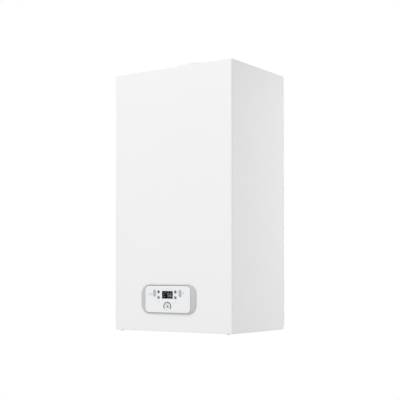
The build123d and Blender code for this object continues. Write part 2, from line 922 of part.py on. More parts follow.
# Sockets in the top panel's front flange, which take the casing's ball studs
with BuildPart() as casing_sockets:
    socket_depth = (top_front - socket_length, top_front + socket_head)
    for side in (-1, 1):
        drum(side * stud_x, stud_z, socket_r - push_fit, socket_depth)
        drum(side * stud_x, stud_z, socket_head_r, (top_front, top_front + socket_head))
        drum(side * stud_x, stud_z, stud_ball_r + 2 * running, socket_depth, Mode.SUBTRACT)
casing_sockets.part.label = "casing_sockets"
export_step(casing_sockets.part, "parts/casing_sockets.step")

with BuildPart() as casing_screws:
    head_top = casing_bottom - clearance
    for side in (-1, 1):
        x = side * casing_screw_x
        post(x, casing_screw_depth, screw_r, (head_top, head_top + casing_screw_length))
        post(x, casing_screw_depth, screw_head_r, (head_top - screw_head_h, head_top))
casing_screws.part.label = "casing_screws"
export_step(casing_screws.part, "parts/casing_screws.step")

# Foam strips that the casing's rear returns press on
seal_x = return_x + seal_inset
with BuildPart() as casing_seal:
    for side in (-1, 1):
        strip_x = sorted((side * seal_x, side * (seal_x + seal_width)))
        block(strip_x, (panel_front, casing_rear - clearance), (panel_bottom, top_z))
casing_seal.part.label = "casing_seal"
export_step(casing_seal.part, "parts/casing_seal.step")

# --- Flue ---

flue_axis = Axis((flue_x, -flue_depth, 0), (0, 0, 1))
flue_section = Plane(origin=(flue_x, -flue_depth, 0), x_dir=(1, 0, 0), z_dir=(0, -1, 0))
flue_socket_outer = flue_socket_r + flue_socket_wall
with BuildPart() as flue_collar:
    with BuildSketch(flue_section):
        with BuildLine():
            Polyline(
                (duct_r, collar_floor),
                (collar_base_r, collar_floor),
                (collar_base_r, collar_base_top),
                (collar_r, collar_base_top),
                (collar_r, collar_top - rim_h),
                (rim_r, collar_top - rim_h),
                (rim_r, collar_top),
                (duct_r, collar_top),
                close=True,
            )
        make_face()
    revolve(axis=flue_axis)
    hollow_span = (collar_floor, collar_hollow_top)
    with BuildSketch(Plane.XY.offset(hollow_span[0])):
        with Locations((flue_x, -flue_depth)):
            Circle(collar_hollow_r[1])
            Circle(collar_hollow_r[0], mode=Mode.SUBTRACT)
    extrude(amount=hollow_span[1] - hollow_span[0], mode=Mode.SUBTRACT)
    post(flue_x, flue_depth, flue_socket_outer, (flue_socket_bottom, flue_socket_top))
    for third in range(3):
        with BuildSketch(Plane.XY.offset(collar_rib_z[0])):
            with Locations(Location((flue_x, -flue_depth), 90 + 120 * third)):
                with Locations(((duct_r + flue_socket_outer) / 2, 0)):
                    Rectangle(duct_r - flue_socket_outer + 2 * collar_rib_root, collar_rib)
        extrude(amount=collar_rib_z[1] - collar_rib_z[0])
    post(flue_x, flue_depth, flue_socket_r, (flue_socket_stop, flue_socket_top), Mode.SUBTRACT)
    post(flue_x, flue_depth, flue_pipe_r + push_fit, (flue_socket_bottom, flue_socket_stop), Mode.SUBTRACT)
    for angle in test_point_angles:
        x, y = around(flue_x, -flue_depth, test_point_circle_r, angle)
        post(x, -y, test_point_r, (collar_base_top, collar_base_top + test_point_h))
    for quarter in range(4):
        x, y = around(flue_x, -flue_depth, collar_screw_r, collar_screw_angle + 90 * quarter)
        post(x, -y, screw_hole_r, (collar_floor, collar_base_top), Mode.SUBTRACT)
        x, y = around(flue_x, -flue_depth, rim_hole_circle_r, 90 * quarter)
        post(x, -y, rim_hole_r, (collar_top - rim_hole_deep, collar_top), Mode.SUBTRACT)
flue_collar.part.label = "flue_collar"
export_step(flue_collar.part, "parts/flue_collar.step")

exhaust_bore_r = flue_pipe_r + push_fit
exhaust_stub_r = exhaust_bore_r + he_wall
with BuildPart() as flue_pipe:
    pipe_span = (exhaust_stub_top - flue_overlap, flue_socket_bottom + flue_overlap)
    post(flue_x, flue_depth, flue_pipe_r, pipe_span)
    post(flue_x, flue_depth, flue_pipe_r - flue_pipe_wall, pipe_span, Mode.SUBTRACT)
flue_pipe.part.label = "flue_pipe"
export_step(flue_pipe.part, "parts/flue_pipe.step")

# --- Heat exchanger ---

he_axis = Axis((he_x, 0, he_z), (0, 1, 0))
he_inner_r = he_r - he_wall
port_reach = math.sqrt(he_r**2 - (flow_port_z - he_z) ** 2)
flow_port_x = he_x - port_reach - port_length
return_port_x = he_x + port_reach + port_length
drain_bottom = he_z - math.sqrt(he_r**2 - (drain_x - he_x) ** 2) - drain_length
with BuildPart() as heat_exchanger_shell:
    drum(he_x, he_z, he_r, (he_rear, he_front))
    drum(he_x, he_z, he_flange_r, (he_front - he_flange, he_front))
    post(flue_x, flue_depth, exhaust_stub_r, (he_z, exhaust_stub_top))
    crossbar((flow_port_x, he_x), port_depth, flow_port_z, port_r)
    crossbar((he_x, return_port_x), port_depth, return_port_z, port_r)
    post(drain_x, drain_depth, drain_r, (drain_bottom, he_z))
    drum(he_x, he_z, he_inner_r, (he_rear + he_wall, he_front), Mode.SUBTRACT)
    post(flue_x, flue_depth, exhaust_bore_r, (he_z, exhaust_stub_top), Mode.SUBTRACT)
    crossbar((flow_port_x, he_x), port_depth, flow_port_z, port_bore_r, Mode.SUBTRACT)
    crossbar((he_x, return_port_x), port_depth, return_port_z, port_bore_r, Mode.SUBTRACT)
    post(drain_x, drain_depth, drain_bore_r, (drain_bottom, he_z), Mode.SUBTRACT)
    for quarter in range(4):
        x, z = around(he_x, he_z, he_foot_circle_r, 45 + 90 * quarter)
        drum(x, z, he_foot_r, (panel_front, he_rear))
    for sixth in range(door_studs):
        x, z = around(he_x, he_z, door_stud_circle_r, 360 / door_studs * sixth)
        drum(x, z, door_stud_r, (he_front, he_front + door_stud_length))
heat_exchanger_shell.part.label = "heat_exchanger_shell"
export_step(heat_exchanger_shell.part, "parts/heat_exchanger_shell.step")

# Flat-sided rings between two headers, which seat it against the shell
with BuildPart() as heat_exchanger_coil:
    with BuildSketch(Plane.XY.offset(he_z)):
        for turn in range(coil_turns):
            with Locations((he_x + coil_r, -(coil_first + coil_pitch * turn))):
                RectangleRounded(coil_tube, coil_tube_flat, coil_tube_flat / 3)
    revolve(axis=he_axis)
    coil_last = coil_first + coil_pitch * (coil_turns - 1)
    coil_span = (coil_first - coil_tube_flat / 2, coil_last + coil_tube_flat / 2)
    header_z = (he_z - coil_header_half, he_z + coil_header_half)
    header_reach = math.sqrt((he_inner_r - clearance) ** 2 - coil_header_half**2)
    for side in (-1, 1):
        header_x = sorted((he_x + side * (coil_r + coil_header_inset), he_x + side * header_reach))
        block(header_x, coil_span, header_z)
heat_exchanger_coil.part.label = "heat_exchanger_coil"
export_step(heat_exchanger_coil.part, "parts/heat_exchanger_coil.step")

electrode_angles = (-electrode_angle, electrode_angle)
electrode_places = [around(he_x, he_z, electrode_circle_r, angle) for angle in electrode_angles]
electrode_hole_r = ceramic_r + clearance
with BuildPart() as burner_door:
    drum(he_x, he_z, he_flange_r, (he_front, door_front))
    drum(he_x, he_z, duct_head_r, (door_front, duct_front))
    duct_x = (he_x - duct_half, he_x + duct_half)
    block(duct_x, (door_front, duct_front), (duct_bottom, he_z))
    fillet(burner_door.edges().group_by(Axis.Y)[0], duct_wall)
    channel_x = (he_x - duct_half + duct_wall, he_x + duct_half - duct_wall)
    channel_depth = (door_front, duct_front - duct_wall)
    block(channel_x, channel_depth, (duct_bottom, he_z), Mode.SUBTRACT)
    drum(he_x, he_z, duct_head_r - duct_wall, (he_front, duct_front - duct_wall), Mode.SUBTRACT)
    for sixth in range(door_studs):
        x, z = around(he_x, he_z, door_stud_circle_r, 360 / door_studs * sixth)
        drum(x, z, door_stud_hole_r, (he_front, door_front), Mode.SUBTRACT)
    for x, z in electrode_places:
        drum(x, z, electrode_hole_r, (he_front, door_front), Mode.SUBTRACT)
burner_door.part.label = "burner_door"
export_step(burner_door.part, "parts/burner_door.step")

with BuildPart() as door_nuts:
    for sixth in range(door_studs):
        x, z = around(he_x, he_z, door_stud_circle_r, 360 / door_studs * sixth)
        with BuildSketch(at_depth(door_front)):
            with Locations((x, z)):
                RegularPolygon(nut_flats / 2, 6, major_radius=False)
                Circle(door_stud_r + push_fit, mode=Mode.SUBTRACT)
        extrude(amount=nut_h)
door_nuts.part.label = "door_nuts"
export_step(door_nuts.part, "parts/door_nuts.step")

insulation_front = he_front - burner_flange - insulation_gap
insulation_depth = (insulation_front - insulation, insulation_front)
with BuildPart() as door_insulation:
    drum(he_x, he_z, insulation_r, insulation_depth)
    drum(he_x, he_z, burner_r + insulation_hole_gap, insulation_depth, Mode.SUBTRACT)
    for x, z in electrode_places:
        drum(x, z, electrode_hole_r, insulation_depth, Mode.SUBTRACT)
door_insulation.part.label = "door_insulation"
export_step(door_insulation.part, "parts/door_insulation.step")

with BuildPart() as burner:
    burner_end = he_front - burner_length
    drum(he_x, he_z, burner_r, (burner_end, he_front))
    drum(he_x, he_z, burner_flange_r, (he_front - burner_flange, he_front))
    drum(he_x, he_z, burner_r - burner_wall, (burner_end + burner_wall, he_front), Mode.SUBTRACT)
burner.part.label = "burner"
export_step(burner.part, "parts/burner.step")

with BuildPart() as electrodes:
    for x, z in electrode_places:
        drum(x, z, ceramic_r, (insulation_depth[0], door_front + ceramic_out))
        drum(x, z, electrode_tip_r, (insulation_depth[0] - electrode_tip, insulation_depth[0]))
        plate_across = (x + electrode_plate_x[0], x + electrode_plate_x[1])
        plate_up = (z - electrode_plate_half, z + electrode_plate_half)
        block(plate_across, (door_front, door_front + electrode_plate), plate_up)
electrodes.part.label = "electrodes"
export_step(electrodes.part, "parts/electrodes.step")

# --- Fan ---

fan_inside = (fan_rear + fan_wall, fan_front - fan_wall)
fan_inner_r = fan_r - fan_wall
with BuildPart() as fan_housing:
    drum(fan_x, fan_z, fan_r, (fan_rear, fan_front))
    block(duct_x, (fan_rear, fan_front), (fan_z, duct_bottom))
    drum(fan_x, fan_z, fan_inner_r, fan_inside, Mode.SUBTRACT)
    block(channel_x, fan_inside, (fan_z, duct_bottom), Mode.SUBTRACT)
    drum(fan_x, fan_z, fan_inlet_r, (fan_rear, fan_rear + fan_wall), Mode.SUBTRACT)
    drum(fan_x, fan_z, fan_shaft_r + running, (fan_front - fan_wall, fan_front), Mode.SUBTRACT)
fan_housing.part.label = "fan_housing"
export_step(fan_housing.part, "parts/fan_housing.step")

fan_shaft_end = fan_front + fan_motor_length - fan_shaft_short
impeller_front = fan_inside[0] + impeller_front_gap
impeller_back = fan_inside[1] - impeller_back_gap
with BuildPart() as fan_impeller:
    drum(fan_x, fan_z, impeller_r, (impeller_back - impeller_blade, impeller_back))
    drum(fan_x, fan_z, impeller_hub_r, (impeller_front, impeller_back))
    drum(fan_x, fan_z, fan_shaft_r, (impeller_back, fan_shaft_end))
    for blade in range(impeller_blades):
        with BuildSketch(at_depth(impeller_front)):
            with Locations((fan_x, fan_z)):
                with Locations(Rotation(0, 0, 360 / impeller_blades * blade)):
                    with Locations((impeller_blade_centre, 0)):
                        Rectangle(impeller_blade_length, impeller_blade, rotation=impeller_lean)
        extrude(amount=impeller_back - impeller_front - impeller_blade / 2)
fan_impeller.part.label = "fan_impeller"
export_step(fan_impeller.part, "parts/fan_impeller.step")

with BuildPart() as fan_motor:
    motor_depth = (fan_front, fan_front + fan_motor_length)
    drum(fan_x, fan_z, fan_motor_r, motor_depth)
    fillet(fan_motor.faces().sort_by(Axis.Y)[0].edges(), fan_motor_round)
    drum(fan_x, fan_z, fan_shaft_r + running, (fan_front, fan_shaft_end + shaft_end_gap), Mode.SUBTRACT)
fan_motor.part.label = "fan_motor"
export_step(fan_motor.part, "parts/fan_motor.step")

# --- Air intake ---

with BuildPart() as air_intake:
    silencer_x = (fan_x - silencer_half, fan_x + silencer_half)
    silencer_inner = (fan_x - silencer_half + silencer_wall, fan_x + silencer_half - silencer_wall)
    spout_x = (fan_x - spout_half, fan_x + spout_half)
    spout_inner = (fan_x - spout_half + silencer_wall, fan_x + spout_half - silencer_wall)
    spout_top = silencer_z[1] + spout_height
    block(silencer_x, (silencer_rear, silencer_front), silencer_z)
    fillet(air_intake.edges().filter_by(Axis.Y), silencer_round)
    block(spout_x, spout_depth, (silencer_z[1], spout_top))
    drum(fan_x, fan_z, venturi_r, (silencer_front, fan_rear))
    post(gas_x, gas_depth, gas_port_r, (gas_port_bottom, fan_z))
    hollow_depth = (silencer_rear + silencer_wall, silencer_front - silencer_wall)
    hollow_z = (silencer_z[0] + silencer_wall, silencer_z[1] - silencer_wall)
    block(silencer_inner, hollow_depth, hollow_z, Mode.SUBTRACT)
    spout_hollow = (spout_depth[0] + silencer_wall, spout_depth[1] - silencer_wall)
    block(spout_inner, spout_hollow, (hollow_z[1], spout_top), Mode.SUBTRACT)
    drum(fan_x, fan_z, venturi_throat_r, (silencer_front - silencer_wall, fan_rear), Mode.SUBTRACT)
    drum(fan_x, fan_z, venturi_bore_r, (fan_rear - venturi_mouth, fan_rear), Mode.SUBTRACT)
    post(gas_x, gas_depth, gas_port_r - gas_port_wall, (gas_port_bottom, fan_z), Mode.SUBTRACT)
air_intake.part.label = "air_intake"
export_step(air_intake.part, "parts/air_intake.step")

# --- Gas line ---

with BuildPart() as gas_valve:
    block((gas_x - valve_half, gas_x + valve_half), valve_depth, valve_z)
    fillet(gas_valve.edges(), valve_round)
    post(gas_x, gas_depth, valve_neck_r, (valve_z[0] - valve_neck, gas_port_bottom))
    for side in (-1, 1):
        coil_x = gas_x + side * valve_coil_x
        coil_depth = (valve_depth[0], valve_depth[1] + valve_coil_length)
        drum(coil_x, sum(valve_z) / 2, valve_coil_r, coil_depth)
        cap_depth = (valve_depth[0], valve_depth[1] + valve_cap)
        drum(coil_x, valve_z[1] - valve_cap_drop, valve_cap_r, cap_depth)
gas_valve.part.label = "gas_valve"
export_step(gas_valve.part, "parts/gas_valve.step")

gas_pipe_top = valve_z[0] - valve_neck
with BuildPart() as gas_pipe:
    gas_route = [
        (gas_x, gas_depth, gas_pipe_top),
        (gas_x, gas_depth, gas_pipe_top - gas_offset[0]),
        (gas_x, tail_depth, gas_pipe_top - gas_offset[1]),
        (gas_x, tail_depth, tail_top),
    ]
    tube(gas_route, gas_bend, gas_pipe_r, gas_pipe_bore_r)
gas_pipe.part.label = "gas_pipe"
export_step(gas_pipe.part, "parts/gas_pipe.step")

# Five tails: heating flow, hot water, gas, cold water, heating return
with BuildPart() as connection_tails:
    for x, body_r, thread_r in zip(tail_xs, tail_bodies, tail_threads):
        post(x, tail_depth, thread_r, (tail_end, tray_floor - tail_hex))
        with BuildSketch(Plane.XY.offset(tray_floor - tail_hex)):
            with Locations((x, -tail_depth)):
                RegularPolygon(thread_r + tail_hex_step, 6, major_radius=False)
        extrude(amount=tail_hex)
        post(x, tail_depth, body_r, (tray_floor, tail_top))
        post(x, tail_depth, body_r - tail_wall, (tail_end, tail_top), Mode.SUBTRACT)
connection_tails.part.label = "connection_tails"
export_step(connection_tails.part, "parts/connection_tails.step")

# --- Water side ---

plate_front = riser_depth[0]
with BuildPart() as flow_block:
    block(flow_block_x, block_depth, block_z)
    fillet(flow_block.edges().filter_by(Axis.Z), block_round)
    block((-riser_x - riser_half, riser_half - riser_x), riser_depth, (block_z[0] + riser_rise, riser_top))
    post(diverter_x, tail_depth, diverter_r, (block_z[0], diverter_top))
    boss_z = (block_z[0] + riser_rise, block_z[1] + pipe_boss_h)
    post(flow_pipe_x, port_depth, pipe_r + pipe_boss, boss_z)
    diverter_bore = (block_z[0] + diverter_floor, diverter_top)
    post(diverter_x, tail_depth, diverter_bore_r, diverter_bore, Mode.SUBTRACT)
    post(diverter_x, tail_depth, tail_body_34_r - tail_wall, (block_z[0], diverter_top), Mode.SUBTRACT)
    hot_bore = (block_z[0], block_z[0] + hot_bore_deep)
    post(-tail_pitch, tail_depth, tail_body_12_r - tail_wall, hot_bore, Mode.SUBTRACT)
flow_block.part.label = "flow_block"
export_step(flow_block.part, "parts/flow_block.step")

pump_chamber = (pump_depth[0] + pump_chamber_wall, pump_depth[1])
with BuildPart() as return_block:
    block(return_block_x, block_depth, block_z)
    fillet(return_block.edges().filter_by(Axis.Z), block_round)
    block((riser_x - riser_half, riser_x + riser_half), riser_depth, (block_z[0] + riser_rise, riser_top))
    neck_x = (pump_x - pump_neck_half, pump_x + pump_neck_half)
    block(neck_x, (block_depth[0], pump_depth[1] - pump_neck_back), (block_z[0] + riser_rise, pump_z))
    drum(pump_x, pump_z, pump_r, pump_depth)
    post(return_pipe_x, port_depth, pipe_r + pump_outlet_wall, (pump_z, return_pipe_bottom))
    post(vent_x, port_depth, vent_neck_r, (pump_z + vent_neck_rise, vent_z[0]))
    post(vent_x, port_depth, vent_r, vent_z)
    safety_seat = block_depth[1] + safety_boss
    drum(service_x, safety_z, safety_r, (block_depth[1] - safety_boss, safety_seat))
    drum(pump_x, pump_z, pump_chamber_r, pump_chamber, Mode.SUBTRACT)
    suction_z = (block_z[1] - suction_sink, pump_z)
    post(pump_x, tail_depth - suction_offset, tail_body_12_r - tail_wall, suction_z, Mode.SUBTRACT)
    return_bore = (block_z[0], block_z[0] + return_bore_deep)
    post(tail_xs[4], tail_depth, tail_body_34_r - tail_wall, return_bore, Mode.SUBTRACT)
    post(return_pipe_x, port_depth, pipe_bore_r, (pump_z + outlet_sink, return_pipe_bottom), Mode.SUBTRACT)
    post(turbine_x, tail_depth, turbine_bore_r, (block_z[0], turbine_bore_top), Mode.SUBTRACT)
    web_half = turbine_bore_r + turbine_web_root
    web_x = (turbine_x - web_half, turbine_x + web_half)
    web_depth = (tail_depth - turbine_web / 2, tail_depth + turbine_web / 2)
    web_z = (turbine_z[1] + turbine_web_rise[0], turbine_z[1] + turbine_web_rise[1])
    block(web_x, web_depth, web_z)
    pin_z = (turbine_z[0] - turbine_pin_ends[0], turbine_z[1] + turbine_pin_ends[1])
    post(turbine_x, tail_depth, turbine_pin_r, pin_z)
    post(service_x, tail_depth, tap_spindle_r + running, (block_z[0], tap_bore_top), Mode.SUBTRACT)
return_block.part.label = "return_block"
export_step(return_block.part, "parts/return_block.step")

with BuildPart() as plate_heat_exchanger:
    plate_middle = (plate_z[0] + plate_z[1]) / 2
    plate_height = plate_z[1] - plate_z[0]
    plate_step = (plate_front - plate_rear - plate_end) / plate_count
    with BuildSketch(at_depth(plate_rear)):
        with Locations((0, plate_middle)):
            inset = 2 * plate_inset
            RectangleRounded(2 * plate_x - inset, plate_height - inset, plate_corner - plate_inset)
    extrude(amount=plate_front - plate_rear)
    for plate in range(plate_count + 1):
        with BuildSketch(at_depth(plate_rear + plate_step * plate)):
            with Locations((0, plate_middle)):
                RectangleRounded(2 * plate_x, plate_height, plate_corner)
        extrude(amount=plate_end)
plate_heat_exchanger.part.label = "plate_heat_exchanger"
export_step(plate_heat_exchanger.part, "parts/plate_heat_exchanger.step")

with BuildPart() as diverter_motor:
    post(diverter_x, tail_depth, diverter_motor_r, (diverter_top, diverter_motor_top))
    fillet(diverter_motor.faces().sort_by(Axis.Z)[-1].edges(), diverter_motor_round)
    diverter_plug_x = (diverter_x - diverter_plug_half, diverter_x + diverter_plug_half)
    diverter_plug_z = (diverter_top + diverter_plug_rise[0], diverter_top + diverter_plug_rise[1])
    block(diverter_plug_x, (tail_depth, tail_depth + diverter_plug_reach), diverter_plug_z)
    post(diverter_x, tail_depth, stem_r + running, (diverter_top, stem_z[1] + stem_end_gap), Mode.SUBTRACT)
diverter_motor.part.label = "diverter_motor"
export_step(diverter_motor.part, "parts/diverter_motor.step")

with BuildPart() as diverter_stem:
    post(diverter_x, tail_depth, stem_r, stem_z)
    for disc_z in stem_discs_z:
        post(diverter_x, tail_depth, stem_disc_r, (disc_z, disc_z + stem_disc))
diverter_stem.part.label = "diverter_stem"
export_step(diverter_stem.part, "parts/diverter_stem.step")

with BuildPart() as pump_motor:
    drum(pump_x, pump_z, pump_motor_r, (pump_depth[1], pump_motor_front))
    fillet(pump_motor.faces().sort_by(Axis.Y)[0].edges(), pump_motor_round)
    drum(pump_x, pump_z, pump_cap_r, (pump_motor_front, pump_motor_front + pump_cap))
    pump_box_x = (pump_x - pump_box_half, pump_x + pump_box_half)
    block(pump_box_x, pump_box_depth, (pump_z, pump_box_top))
    shaft_bore = (pump_depth[1], rotor_shaft_end + shaft_end_gap)
    drum(pump_x, pump_z, rotor_shaft_r + running, shaft_bore, Mode.SUBTRACT)
pump_motor.part.label = "pump_motor"
export_step(pump_motor.part, "parts/pump_motor.step")

with BuildPart() as pump_rotor:
    drum(pump_x, pump_z, rotor_r, (rotor_depth[0], rotor_depth[0] + rotor_blade))
    drum(pump_x, pump_z, rotor_hub_r, rotor_depth)
    drum(pump_x, pump_z, rotor_shaft_r, (rotor_depth[1], rotor_shaft_end))
    for blade in range(rotor_blades):
        with BuildSketch(at_depth(rotor_depth[0])):
            with Locations((pump_x, pump_z)):
                with Locations(Rotation(0, 0, 360 / rotor_blades * blade)):
                    with Locations((rotor_blade_centre, 0)):
                        Rectangle(rotor_blade_length, rotor_blade, rotation=rotor_lean)
        extrude(amount=rotor_depth[1] - rotor_depth[0])
pump_rotor.part.label = "pump_rotor"
export_step(pump_rotor.part, "parts/pump_rotor.step")

with BuildPart() as flow_turbine:
    post(turbine_x, tail_depth, turbine_hub_r, turbine_z)
    for blade in range(turbine_blades):
        with BuildSketch(Plane.XY.offset(turbine_z[0])):
            with Locations((turbine_x, -tail_depth)):
                with Locations(Rotation(0, 0, 360 / turbine_blades * blade)):
                    with Locations((turbine_r / 2, 0)):
                        Rectangle(turbine_r, turbine_blade)
        extrude(amount=turbine_z[1] - turbine_z[0])
    post(turbine_x, tail_depth, turbine_pin_r + running, turbine_z, Mode.SUBTRACT)
flow_turbine.part.label = "flow_turbine"
export_step(flow_turbine.part, "parts/flow_turbine.step")

with BuildPart() as safety_valve:
    drum(service_x, safety_z, safety_r, (safety_seat, safety_front))
    drum(service_x, safety_z, safety_spindle_r, (safety_front, safety_front + safety_spindle))
    post(service_x, discharge_depth, discharge_r, (tail_end, safety_z))
    post(service_x, discharge_depth, discharge_spigot_r, (tail_end, spigot_top))
    post(service_x, discharge_depth, discharge_bore_r, (tail_end, safety_z), Mode.SUBTRACT)
safety_valve.part.label = "safety_valve"
export_step(safety_valve.part, "parts/safety_valve.step")

with BuildPart() as safety_valve_knob:
    knob_rear = safety_front + clearance
    knob_depth = (knob_rear, knob_rear + knob_length)
    drum(service_x, safety_z, knob_r, knob_depth)
    for groove in range(knob_grooves):
        x, z = around(service_x, safety_z, knob_r, 360 / knob_grooves * groove)
        drum(x, z, knob_groove_r, knob_depth, Mode.SUBTRACT)
    knob_bore = (knob_rear, safety_front + safety_spindle + clearance)
    drum(service_x, safety_z, safety_spindle_r + running, knob_bore, Mode.SUBTRACT)
safety_valve_knob.part.label = "safety_valve_knob"
export_step(safety_valve_knob.part, "parts/safety_valve_knob.step")

with BuildPart() as filling_tap_knob:
    tap_knob_z = (tap_knob_bottom, tap_knob_bottom + tap_knob_h)
    post(service_x, tail_depth, tap_knob_r, tap_knob_z)
    for groove in range(knob_grooves):
        x, y = around(service_x, -tail_depth, tap_knob_r, 360 / knob_grooves * groove)
        post(x, -y, knob_groove_r, tap_knob_z, Mode.SUBTRACT)
    post(service_x, tail_depth, tap_spindle_r, (tap_knob_z[1], tap_spindle_top))
filling_tap_knob.part.label = "filling_tap_knob"
export_step(filling_tap_knob.part, "parts/filling_tap_knob.step")

with BuildPart() as flow_pipe:
    flow_route = [
        (flow_port_x, port_depth, flow_port_z),
        (flow_pipe_x, port_depth, flow_port_z),
        (flow_pipe_x, port_depth, block_z[1] + 12),
    ]
    tube(flow_route, flow_bend, pipe_r, pipe_bore_r)
flow_pipe.part.label = "flow_pipe"
export_step(flow_pipe.part, "parts/flow_pipe.step")

with BuildPart() as return_pipe:
    return_route = [
        (return_pipe_x, port_depth, return_pipe_bottom),
        (return_pipe_x, port_depth, return_port_z),
        (return_port_x, port_depth, return_port_z),
    ]
    tube(return_route, return_bend, pipe_r, pipe_bore_r)
return_pipe.part.label = "return_pipe"
export_step(return_pipe.part, "parts/return_pipe.step")

# --- Expansion vessel ---

vessel_middle = (-(vessel_depth[0] + vessel_depth[1]) / 2, (vessel_z[0] + vessel_z[1]) / 2)
vessel_length = vessel_depth[1] - vessel_depth[0]
vessel_height = vessel_z[1] - vessel_z[0]
vessel_port_bottom = vessel_z[0] - vessel_port
with BuildPart() as expansion_vessel:
    with BuildSketch(Plane.YZ.offset(vessel_x)):
        with Locations(vessel_middle):
            RectangleRounded(vessel_length, vessel_height, vessel_corner)
    extrude(amount=vessel_half, taper=vessel_taper)
    fillet(expansion_vessel.faces().sort_by(Axis.X)[-1].edges(), vessel_round)
    mirror(about=Plane.YZ.offset(vessel_x))
    with BuildSketch(Plane.YZ.offset(vessel_x - vessel_rim_thick / 2)):
        with Locations(vessel_middle):
            rim = 2 * vessel_rim
            RectangleRounded(vessel_length + rim, vessel_height + rim, vessel_corner + vessel_rim)
    extrude(amount=vessel_rim_thick)
    post(vessel_port_x, vessel_port_depth, vessel_port_r, (vessel_port_bottom, vessel_z[0] + vessel_port))
    hollow_length = vessel_length - 2 * vessel_wall
    hollow_height = vessel_height - 2 * vessel_wall
    with BuildSketch(Plane.YZ.offset(vessel_x)):
        with Locations(vessel_middle):
            RectangleRounded(hollow_length, hollow_height, vessel_corner - vessel_wall)
    hollow_half = vessel_half - vessel_wall
    extrude(amount=hollow_half, both=True, taper=vessel_hollow_taper, mode=Mode.SUBTRACT)
    port_bore = (vessel_port_bottom, vessel_z[0] + 2 * vessel_port)
    post(vessel_port_x, vessel_port_depth, expansion_bore_r, port_bore, Mode.SUBTRACT)
expansion_vessel.part.label = "expansion_vessel"
export_step(expansion_vessel.part, "parts/expansion_vessel.step")

with BuildPart() as expansion_pipe:
    expansion_route = [
        (vessel_port_x, vessel_port_depth, vessel_port_bottom),
        (vessel_port_x, vessel_port_depth, vessel_port_bottom - expansion_offset[0]),
        (vessel_port_x, expansion_depth, vessel_port_bottom - expansion_offset[1]),
        (vessel_port_x, expansion_depth, block_z[1]),
    ]
    tube(expansion_route, expansion_bend, expansion_r, expansion_bore_r)
expansion_pipe.part.label = "expansion_pipe"
export_step(expansion_pipe.part, "parts/expansion_pipe.step")

# --- Condensate ---

with BuildPart() as condensate_trap:
    post(trap_x, trap_depth, trap_r, trap_z)
    post(trap_x, trap_depth, trap_cap_r, (trap_z[0], trap_z[0] + trap_cap))
    post(trap_x, trap_depth, trap_neck_r, (trap_z[1], trap_z[1] + trap_neck))
    post(trap_x, trap_depth, trap_outlet_r, (tail_end, trap_z[0]))
    post(trap_x, trap_depth, trap_spigot_r, (tail_end, spigot_top))
    trap_hollow = (trap_z[0] + trap_wall, trap_z[1] - trap_wall)
    post(trap_x, trap_depth, trap_r - trap_wall, trap_hollow, Mode.SUBTRACT)
    post(trap_x, trap_depth, trap_outlet_bore_r, (tail_end, trap_z[0] + trap_wall), Mode.SUBTRACT)
    neck_bore = (trap_z[1] - trap_wall, trap_z[1] + trap_neck)
    post(trap_x, trap_depth, trap_neck_r - trap_wall, neck_bore, Mode.SUBTRACT)
condensate_trap.part.label = "condensate_trap"
export_step(condensate_trap.part, "parts/condensate_trap.step")

with BuildPart() as condensate_hose:
    hose_end = trap_z[1] + trap_neck
    hose_route = [
        (drain_x, drain_depth, drain_bottom),
        (drain_x, drain_depth, drain_bottom - hose_straight),
        (trap_x, trap_depth, hose_end + hose_straight),
        (trap_x, trap_depth, hose_end),
    ]
    tube(hose_route, hose_bend, hose_r, hose_bore_r)
condensate_hose.part.label = "condensate_hose"
export_step(condensate_hose.part, "parts/condensate_hose.step")

# --- Cable gland ---

with BuildPart() as cable_gland:
    post(gland_x, gland_depth, gland_r, (tray_floor, tray_z))
    for low in (tray_floor - gland_nut, tray_z):
        with BuildSketch(Plane.XY.offset(low)):
            with Locations((gland_x, -gland_depth)):
                RegularPolygon(gland_nut_flats / 2, 6, major_radius=False)
        extrude(amount=gland_nut)
    dome_top = tray_floor - gland_nut
    post(gland_x, gland_depth, gland_dome_r, (dome_top - gland_dome, dome_top))
    fillet(cable_gland.faces().sort_by(Axis.Z)[0].edges(), gland_round)
    post(gland_x, gland_depth, gland_bore_r, (dome_top - gland_dome, tray_z + gland_nut), Mode.SUBTRACT)
cable_gland.part.label = "cable_gland"
export_step(cable_gland.part, "parts/cable_gland.step")

# --- Control box, which swings down about its lower front edge ---

box_z = (box_bottom, box_top)
with BuildPart() as control_box:
    block((-box_x, box_x), (box_rear, box_front), box_z)
    inner_z = (box_bottom + box_wall, box_top - box_wall)
    block((box_wall - box_x, box_x - box_wall), (box_rear, box_front), inner_z, Mode.SUBTRACT)
    for side in (-1, 1):
        ear_x = sorted((side * box_x, side * (box_x - ear_wall)))
        block(ear_x, ear_depth, (box_bottom, ear_top))
        trunnion_x = sorted((side * (box_x - ear_wall), side * (chassis_x - hinge_end_gap)))
        crossbar(trunnion_x, hinge_depth, hinge_z, hinge_r)
        for z in (main_board_z[0] + standoff_inset, main_board_z[1] - standoff_inset):
            standoff_x = side * (main_board_x - standoff_inset)
            drum(standoff_x, z, standoff_r, (box_rear, main_board_rear))
            rib_x = sorted((standoff_x, side * (box_x - box_wall)))
            rib_z = (z - standoff_rib_half, z + standoff_rib_half)
            block(rib_x, (box_rear, main_board_rear), rib_z)
control_box.part.label = "control_box"
export_step(control_box.part, "parts/control_box.step")

with BuildPart() as control_box_cover:
    block((-box_x, box_x), (box_rear - box_lid, box_rear), box_z)
    for slot in range(vent_slots):
        x = vent_pitch * (slot - (vent_slots - 1) / 2)
        slot_z = (control_z - vent_slot[1] / 2, control_z + vent_slot[1] / 2)
        slot_x = (x - vent_slot[0] / 2, x + vent_slot[0] / 2)
        block(slot_x, (box_rear - box_lid, box_rear), slot_z, Mode.SUBTRACT)
control_box_cover.part.label = "control_box_cover"
export_step(control_box_cover.part, "parts/control_box_cover.step")

